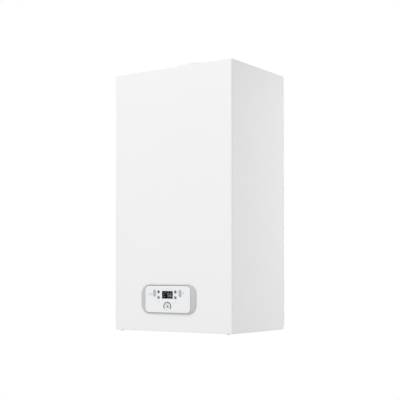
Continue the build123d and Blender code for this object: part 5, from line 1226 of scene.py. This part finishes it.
def undersideTails():
    reach = span("connection_tails")["z"]
    tail = {
        "end": reach[0],
        "top": reach[1],
        "threadTop": -655.0,
        "pitch": 1.814,
        "spacing": 65.0,
        "wide": (13.2, 12.0),  # radius of the thread and of the body
        "narrow": (10.48, 9.5),
        "washer": 2.0,
    }
    kinds = ("wide", "narrow", "wide", "narrow", "wide")
    rows = [(tail["spacing"] * (place - 2), *tail[kind]) for place, kind in enumerate(kinds)]
    tails = Shape("top")
    for x, thread, body in rows:
        threadedTail(tails.move("top", (x, tailDepth, 0)), tail, thread, body)
    addPiece("threadedTails", tails, "root", "brass", smooth=25)
    washers = Shape("top")
    high = tail["washer"]
    for x, thread, body in rows:
        inner, outer = body + 0.2, thread + 3.9
        washers.move("top", (x, tailDepth, chassis["trayUnder"] - high)).lathe([
            (inner, 0), (outer - 0.5, 0), (outer, 0.5),
            (outer, high - 0.5), (outer - 0.5, high), (inner, high),
        ], 40, closed=True)
    addPiece("tailWashers", washers, "root", "rubber_black")


def turnedKnobs():
    safety = {"radius": 11.4, "grips": 10}
    reach = span("safety_valve_knob")
    where = (middle(reach["x"]), reach["depth"][0], middle(reach["z"]))
    deep, radius = reach["depth"][1] - reach["depth"][0], safety["radius"]
    knob = Shape("front", where).lathe([
        (3.1, 0.2), (9.0, 0), (radius - 0.4, 0.8), (radius, 3), (radius, deep - 3.5), (10.2, deep - 1),
        (8, deep - 0.1), (5.4, deep - 0.2), (4.8, deep - 1.2), (0, deep - 1.2),
    ], 56)
    addPiece("safetyKnobBody", knob, "safety_knob", "knob_red", ("safety_valve_knob",))
    grip = Shape("top").slab((3.2, 3.4, 1.2), (1.2, deep - 1.4), edge=0.8, centre=(11.2, 0), cornerSteps=4)
    addCopies("safetyKnobGrips", grip, "safety_knob", "knob_red", "front", where,
              **fullTurn(safety["grips"]))
    tap = {"radius": 9.4, "tall": 13.7, "grips": 8}
    reach = span("filling_tap_knob")
    where = (middle(reach["x"]), middle(reach["depth"]), reach["z"][0])
    tall, radius = tap["tall"], tap["radius"]
    knob = Shape("top", where).lathe([
        (0, 0.9), (4.4, 0.9), (5.0, 0.1), (7.6, 0), (9.0, 1), (radius, 3), (radius, tall - 1.6),
        (8.6, tall), (4.2, tall),
    ], 48)
    addPiece("tapKnobBody", knob, "tap_knob", "knob_blue", ("filling_tap_knob",))
    grip = Shape("top").slab((2.8, 3.0, 1.0), (0.9, tall - 0.9), edge=0.7, centre=(radius, 0), cornerSteps=4)
    addCopies("tapKnobGrips", grip, "tap_knob", "knob_blue", "top", where, **fullTurn(tap["grips"]))


def pressedPanels():  # stiffening beads rolled into the sheets
    beads = {
        "back": (  # x, lower and upper end
            (-70.0, -560.0, -120.0),
            (-88.0, -640.0, -600.0),
            (168.0, -600.0, -80.0),
            (-30.0, -95.0, -20.0),
            (110.0, -80.0, 0.0),
        ),
        "wide": 9.0,
        "topX": 135.0,
        "topLong": 150.0,
        "topDepth": 135.0,
        "trayX": (-97.5, -32.5, 32.5),
        "trayWide": 7.0,
        "trayLong": 60.0,
        "trayDepth": 62.0,
    }
    wide = beads["wide"]
    back = Shape("front", (0, chassis["back"], 0))
    for x, low, high in beads["back"]:
        back.slab((wide, high - low, wide / 2), (-0.3, 1.5), edge=1.1, centre=(x, (low + high) / 2))
    addPiece("backBeads", back, "root", "zinc_sheet")
    top = Shape("top", (0, 0, chassis["top"]))
    for x in (-beads["topX"], beads["topX"]):
        top.slab((wide, beads["topLong"], wide / 2), (-0.3, 0.9), edge=0.8, centre=(x, -beads["topDepth"]))
    addPiece("topBeads", top, "root", "zinc_sheet")
    tray = Shape("top", (0, 0, chassis["trayUnder"]))
    wide = beads["trayWide"]
    for x in beads["trayX"]:
        tray.slab((wide, beads["trayLong"], wide / 2), (-0.9, 0.3), edge=0.8, centre=(x, -beads["trayDepth"]))
    addPiece("trayBeads", tray, "root", "zinc_sheet")


def vesselDetail():
    vessel = {
        "middle": -225.0,
        "beads": ((150.0, 344.0, 34.0), (104.0, 290.0, 26.0)),  # width, height and corner radius
        "section": ((0, 0.6), (0.8, -0.8), (2.2, -1.7), (4.0, -2.0), (5.8, -1.7), (7.2, -0.8), (8.0, 0.6)),
        "valveFront": 238.0,
        "valveZ": -210.0,
    }
    reach = span("expansion_vessel")
    beads = Shape("right", (reach["x"][0], middle(reach["depth"]), vessel["middle"]))
    for width, height, corner in vessel["beads"]:
        stages = []
        for grow, out in vessel["section"]:
            stages.append((roundedLoop(width + 2 * grow, height + 2 * grow, corner + grow, 10), out))
        beads.loft(stages, closed=True)
    addPiece("vesselBeads", beads, "root", "vessel_paint")
    valve = Shape("front", (middle(reach["x"]), vessel["valveFront"], vessel["valveZ"])).lathe([
        (7.5, -3), (7.5, 1.2), (6.4, 2), (4.2, 2.2), (4.2, 9.4), (3.6, 10.4), (0, 10.4),
    ], 32)
    addPiece("vesselValve", valve, "root", "motor_black")


def trapAndHoses():
    trap = {"capLow": -464.4, "capRadius": 27.6, "grips": 24, "clamps": (-492.0, -632.0), "clampHigh": 6.0}
    reach = span("condensate_trap")
    x, depth, high = middle(reach["x"]), middle(reach["depth"]), trap["clampHigh"]
    grip = Shape("top")
    grip.slab((2.4, 1.8, 0.5), (-0.2, 13.0), edge=0.4, centre=(trap["capRadius"], 0), cornerSteps=2)
    addCopies("trapGrips", grip, "root", "trap_plastic", "top", (x, depth, trap["capLow"]),
              **fullTurn(trap["grips"]))
    clamps = Shape("top")
    for z in trap["clamps"]:
        clamps.move("top", (x, depth, z)).lathe([
            (10.4, 0), (11.0, 0.3), (11.0, high - 0.3), (10.4, high), (9.9, high - 1), (9.9, 1.0),
        ], 40, closed=True)
    addPiece("trapClamps", clamps, "root", "stainless")


def silencerRibs():
    silencer = {
        "front": 140.0,
        "ribRows": (("High", -344.0, 12.0), ("Low", -440.0, 8.0)),  # lower rib's z, and the step up
        "rings": (146.0, 196.0),
        "ringHigh": 6.0,
        "ringRadius": 36.8,
    }
    x = middle(span("air_intake")["x"])
    for place, z, step in silencer["ribRows"]:
        rib = Shape("top").slab((86.0, 3.0, 1.2), (-0.3, 1.6), edge=0.6)
        addCopies("silencerRibs" + place, rib, "root", "intake_plastic", "front",
                  (x, silencer["front"], z), count=2, step=(0, step, 0))
    rings = Shape("front", (x, 0, middle(span("fan_motor")["z"])))
    radius, high = silencer["ringRadius"], silencer["ringHigh"]
    for low in silencer["rings"]:
        rings.lathe([
            (radius - 3, low), (radius - 0.4, low + 0.4), (radius, low + high / 2),
            (radius - 0.4, low + high - 0.4), (radius - 3, low + high),
        ], 56, closed=True)
    addPiece("venturiRings", rings, "root", "intake_plastic")


def collarDetail():
    collar = {
        "lipsBelow": (14.0, 8.5),  # from the collar's rim
        "lip": (50.6, 49.2, 48.2, 49.4),
        "socketLipsBelow": (13.0, 8.0),
        "socketLip": (30.35, 29.6, 29.1, 29.8),
        "caps": {"count": 2, "radius": 65.0, "start": 60.0, "turn": 60.0},
    }
    reach = span("flue_collar")
    x, depth, rim = middle(reach["x"]), middle(reach["depth"]), reach["z"][1]
    lips = Shape("top", (x, depth, 0))
    for kind, heights, steps in (("lip", (3.2, 2.8, 1.0, 0.4), 72), ("socketLip", (2.4, 2.0, 0.8, 0.2), 56)):
        seat = collar[kind][0]
        for below in collar[kind + "sBelow"]:
            low = rim - below
            tongue = [(radius, low + high) for radius, high in zip(collar[kind], heights)]
            lips.lathe([(seat, low)] + tongue, steps, closed=True)
    addPiece("collarLips", lips, "root", "rubber_black")
    where = (x, depth, chassis["collarFlange"] + 0.2)
    cap = Shape("top").lathe([(5.9, 0), (5.9, 6.8), (5.2, 7.8), (2.6, 8.2), (2.6, 9.6), (0, 9.6)], 32)
    addCopies("testCaps", cap, "root", "collar_plastic", "top", where, **collar["caps"])
    grip = Shape("top").slab((9.0, 1.6, 0.6), (8.0, 10.2), edge=0.4)
    addCopies("testCapGrips", grip, "root", "collar_plastic", "top", where, **collar["caps"])


def blockDetail():  # ribs, wire clips and the flow sensor on the two water blocks
    block = {
        "ribs": {"flow": (-111.0, 4, 9), "return": (147.0, 3, 8)},  # first rib's x, count and step
        "ribZ": -620.0,
        "clipsX": (-130.0, -65.0, 65.0, 130.0),
        "clipZ": -630.0,
        "clipHalf": 9.0,
        "clipOut": 4.5,
        "sensor": (65.0, -613.0),
    }
    front = span("flow_block")["depth"][1]
    for side, (x, count, step) in block["ribs"].items():
        rib = Shape("top").slab((2.6, 30.0, 1.2), (-0.3, 1.6), edge=0.6)
        addCopies(side + "BlockRibs", rib, "root", "block_composite", "front",
                  (x, front, block["ribZ"]), count=count, step=(step, 0, 0))
    clips = Shape("front")
    rear, out, z = front - 1.0, front + block["clipOut"], block["clipZ"]
    for x in block["clipsX"]:
        low, high = x - block["clipHalf"], x + block["clipHalf"]
        clips.pipe([(low, rear, z), (low, out, z), (high, out, z), (high, rear, z)], 2.5, 1.0, 12, 5)
    addPiece("blockClips", clips, "root", "screw_steel")
    x, z = block["sensor"]
    sensor = Shape("front", (x, front, z)).slab((17, 13, 2.5), (-0.3, 7.0), edge=0.9)
    sensor.slab((10, 7, 1.2), (6.8, 13.0), edge=0.5)
    addPiece("flowSensor", sensor, "root", "motor_black")


def pipeSensors():  # clipped round the flow and the return pipe
    sensor = {"band": 7.0, "places": (("flow", -545.0), ("return", -430.0))}
    depth, radius, high = waterPipe["depth"], waterPipe["radius"], sensor["band"]
    inner = radius + 0.05
    bands = Shape("top")
    heads = Shape("front")
    for pipe, z in sensor["places"]:
        bands.move("top", (waterPipe[pipe], depth, z)).lathe([
            (inner, 0.3), (inner + 0.2, 0), (inner + 0.9, 0.3),
            (inner + 0.9, high - 0.3), (inner + 0.2, high), (inner, high - 0.3),
        ], 40, closed=True)
        heads.move("front", (waterPipe[pipe], depth + radius, z + high / 2))
        heads.slab((9, 13, 1.5), (0.4, 7.5), edge=0.7).disc(2.4, (7.3, 12.0), edge=0.5, steps=24)
    addPiece("sensorBands", bands, "root", "stainless")
    addPiece("sensorHeads", heads, "root", "motor_black")


def controlBoxDetail():
    box = {"rib": 2.4, "inset": 5.0, "corner": 6.0, "proud": 1.4, "screwInset": 13.0}
    cover = span("control_box_cover")
    width, height = cover["x"][1] - cover["x"][0], cover["z"][1] - cover["z"][0]
    rear = (0.0, cover["depth"][0], middle(cover["z"]))

    def border(inset, out):
        return roundedLoop(width - 2 * inset, height - 2 * inset, box["corner"], 6), out

    outer, inner, proud = box["inset"], box["inset"] + box["rib"], box["proud"]
    ring = Shape("back", rear).loft([
        border(outer, -0.3), border(outer, proud - 0.4), border(outer + 0.4, proud),
        border(inner - 0.4, proud), border(inner, proud - 0.4), border(inner, -0.3),
    ], closed=True)
    addPiece("coverBorder", ring, "control_unit", "box_plastic")
    heads = Shape("back", rear)
    # dark crosses on the screw heads: painted shade of the cross recesses, which are not cut
    marks = Shape("back", rear)
    across, up = width / 2 - box["screwInset"], height / 2 - box["screwInset"]
    for centre in ((-across, -up), (-across, up), (across, -up), (across, up)):
        heads.lathe([(3.6, -0.2), (3.6, 0.4), (3.2, 1.4), (1.8, 2.1), (0, 2.2)], 32, centre)
        marks.cross(3.4, 0.7, (1.9, 2.26), centre)
    addPiece("coverScrews", heads, "control_unit", "screw_steel")
    addPiece("coverScrewRecessShade", marks, "control_unit", "motor_black")


def crossScrews():  # pan heads with a cross, along the top's rear seam and on the collar's flange; each cross is a dark plate, painted shade of its recess
    head = {"radius": 3.9, "cross": 3.6, "slot": 0.8}
    seam = span("chassis_screws")["x"][1] - head["radius"]
    collar = span("flue_collar")
    rows = {
        "Seam": {"origin": (-seam, 16.7, chassis["top"]), "count": 3, "step": (seam, 0, 0)},
        "Collar": {
            "origin": (middle(collar["x"]), middle(collar["depth"]), chassis["collarFlange"]),
            "count": 4, "radius": 68.0, "start": 45.0, "turn": 90.0,
        },
    }
    profile = [(head["radius"] - 0.05, 0), (head["radius"], 0.3)]
    profile += [(3.6, 1.2), (2.9, 1.8), (1.6, 2.2), (0, 2.3)]
    for name, row in rows.items():
        addCopies("screwHeads" + name, Shape("top").lathe(profile, 32), "root", "screw_steel", **row)
        # the dark cross plate: painted shade of the cross recess
        cross = Shape("top").cross(head["cross"], head["slot"], (2.12, 2.36))
        addCopies("screwCrosses" + name, cross, "root", "motor_black", **row)


fanAndMotor()
exchangerAndDoor()
gasTrain()
unionNuts()
pumpDetail()
ventAndDiverter()
undersideTails()
turnedKnobs()
pressedPanels()
vesselDetail()
trapAndHoses()
silencerRibs()
collarDetail()
blockDetail()
pipeSensors()
controlBoxDetail()
crossScrews()
print("inner works made")


# --- room: floor, background, lamps and camera ---

room = {
    "floorZ": -1.9,
    "floorSize": 40.0,
    "background": 1.0,
    "ambient": 0.735,
}
lamps = {
    "frontTop": {"at": (-0.8, -2.6, 1.4), "aim": (0, -0.28, -0.2), "size": (1.6, 1.6), "power": 24.5},
    "frontRight": {"at": (0.5, -2.8, -0.9), "aim": (0, -0.28, -0.5), "size": (1.4, 1.4), "power": 6.2},
    "sideStrip": {"at": (0.5, 0.3, -0.3), "aim": (0.19, -0.05, -0.36), "size": (0.2, 0.9), "power": 0.68},
}
photoCamera = {
    "at": (1.491241, -2.314791, -0.522484),
    "turn": 34.4428,
    "tilt": 1.5333,
    "focalPixels": 928.428,
    "middlePixel": 250.639,
    "picture": 400.0,
    "sensor": 36.0,
}


def plainStage():
    floor = Finish("paleFloor")
    seen = floor.node("LightPath", output="Is Camera Ray")
    cloud = floor.noise(0.8, 3.0)
    pale = floor.mix(cloud, srgb(236), srgb(230))
    shader = floor.node("BsdfPrincipled", {}, {"Base Color": pale, "Roughness": 0.8})
    away = floor.node("VectorMath", {"operation": "LENGTH"}, {0: floor.objectPlace()}, "Value")
    fade = floor.node("MapRange", {"interpolation_type": "SMOOTHSTEP"}, {0: away, 1: 2.0, 2: 7.0})
    white = floor.node("Emission", {}, {"Color": (1, 1, 1), "Strength": 1.0})
    clear = floor.node("BsdfTransparent", {}, {})
    far = floor.node("MixShader", {}, {0: seen, 1: clear, 2: white})
    blend = floor.node("MixShader", {}, {0: fade, 1: shader, 2: far})
    floor.node("OutputMaterial", {}, {"Surface": blend})
    mesh = bpy.data.meshes.new("floor")
    half = room["floorSize"] / 2
    corners = [(-half, -half, 0), (half, -half, 0), (half, half, 0), (-half, half, 0)]
    mesh.from_pydata(corners, [], [(0, 1, 2, 3)])
    mesh.materials.append(floor.material)
    plane = bpy.data.objects.new("floor", mesh)
    plane.location.z = room["floorZ"]
    bpy.context.scene.collection.objects.link(plane)


def plainWorld():
    world = bpy.data.worlds.new("studio")
    world.use_nodes = True
    bpy.context.scene.world = world
    tree = world.node_tree
    tree.nodes.clear()
    path = tree.nodes.new("ShaderNodeLightPath")
    glossy = tree.nodes.new("ShaderNodeMath")
    glossy.operation = "MAXIMUM"
    through = tree.nodes.new("ShaderNodeMath")
    through.operation = "MAXIMUM"
    tree.links.new(path.outputs["Is Camera Ray"], glossy.inputs[0])
    tree.links.new(path.outputs["Is Glossy Ray"], glossy.inputs[1])
    tree.links.new(glossy.outputs[0], through.inputs[0])
    tree.links.new(path.outputs["Is Transmission Ray"], through.inputs[1])
    shades = []
    for strength in (room["ambient"], room["background"]):
        shade = tree.nodes.new("ShaderNodeBackground")
        shade.inputs["Strength"].default_value = strength
        shade.inputs["Color"].default_value = (1, 1, 1, 1)
        shades.append(shade)
    mixer = tree.nodes.new("ShaderNodeMixShader")
    tree.links.new(through.outputs[0], mixer.inputs[0])
    tree.links.new(shades[0].outputs[0], mixer.inputs[1])
    tree.links.new(shades[1].outputs[0], mixer.inputs[2])
    output = tree.nodes.new("ShaderNodeOutputWorld")
    tree.links.new(mixer.outputs[0], output.inputs["Surface"])


def softLamps():
    for name, lamp in lamps.items():
        data = bpy.data.lights.new(name, "AREA")
        data.shape = "RECTANGLE"
        data.size, data.size_y = lamp["size"]
        data.energy = lamp["power"]
        thing = bpy.data.objects.new(name, data)
        thing.visible_camera = False
        at = Vector(lamp["at"])
        thing.location = at
        thing.rotation_euler = (Vector(lamp["aim"]) - at).to_track_quat("-Z", "Y").to_euler()
        bpy.context.scene.collection.objects.link(thing)


def photographersView():
    data = bpy.data.cameras.new("photoView")
    size = photoCamera["picture"]
    data.sensor_width = photoCamera["sensor"]
    data.lens = photoCamera["focalPixels"] / size * photoCamera["sensor"]
    data.shift_y = (photoCamera["middlePixel"] - size / 2) / size
    thing = bpy.data.objects.new("photoView", data)
    thing.location = photoCamera["at"]
    thing.rotation_euler = (math.radians(90 + photoCamera["tilt"]), 0, math.radians(photoCamera["turn"]))
    bpy.context.scene.collection.objects.link(thing)
    bpy.context.scene.camera = thing


plainStage()
plainWorld()
softLamps()
photographersView()
bpy.context.scene.view_settings.view_transform = "Standard"
print("room ready")
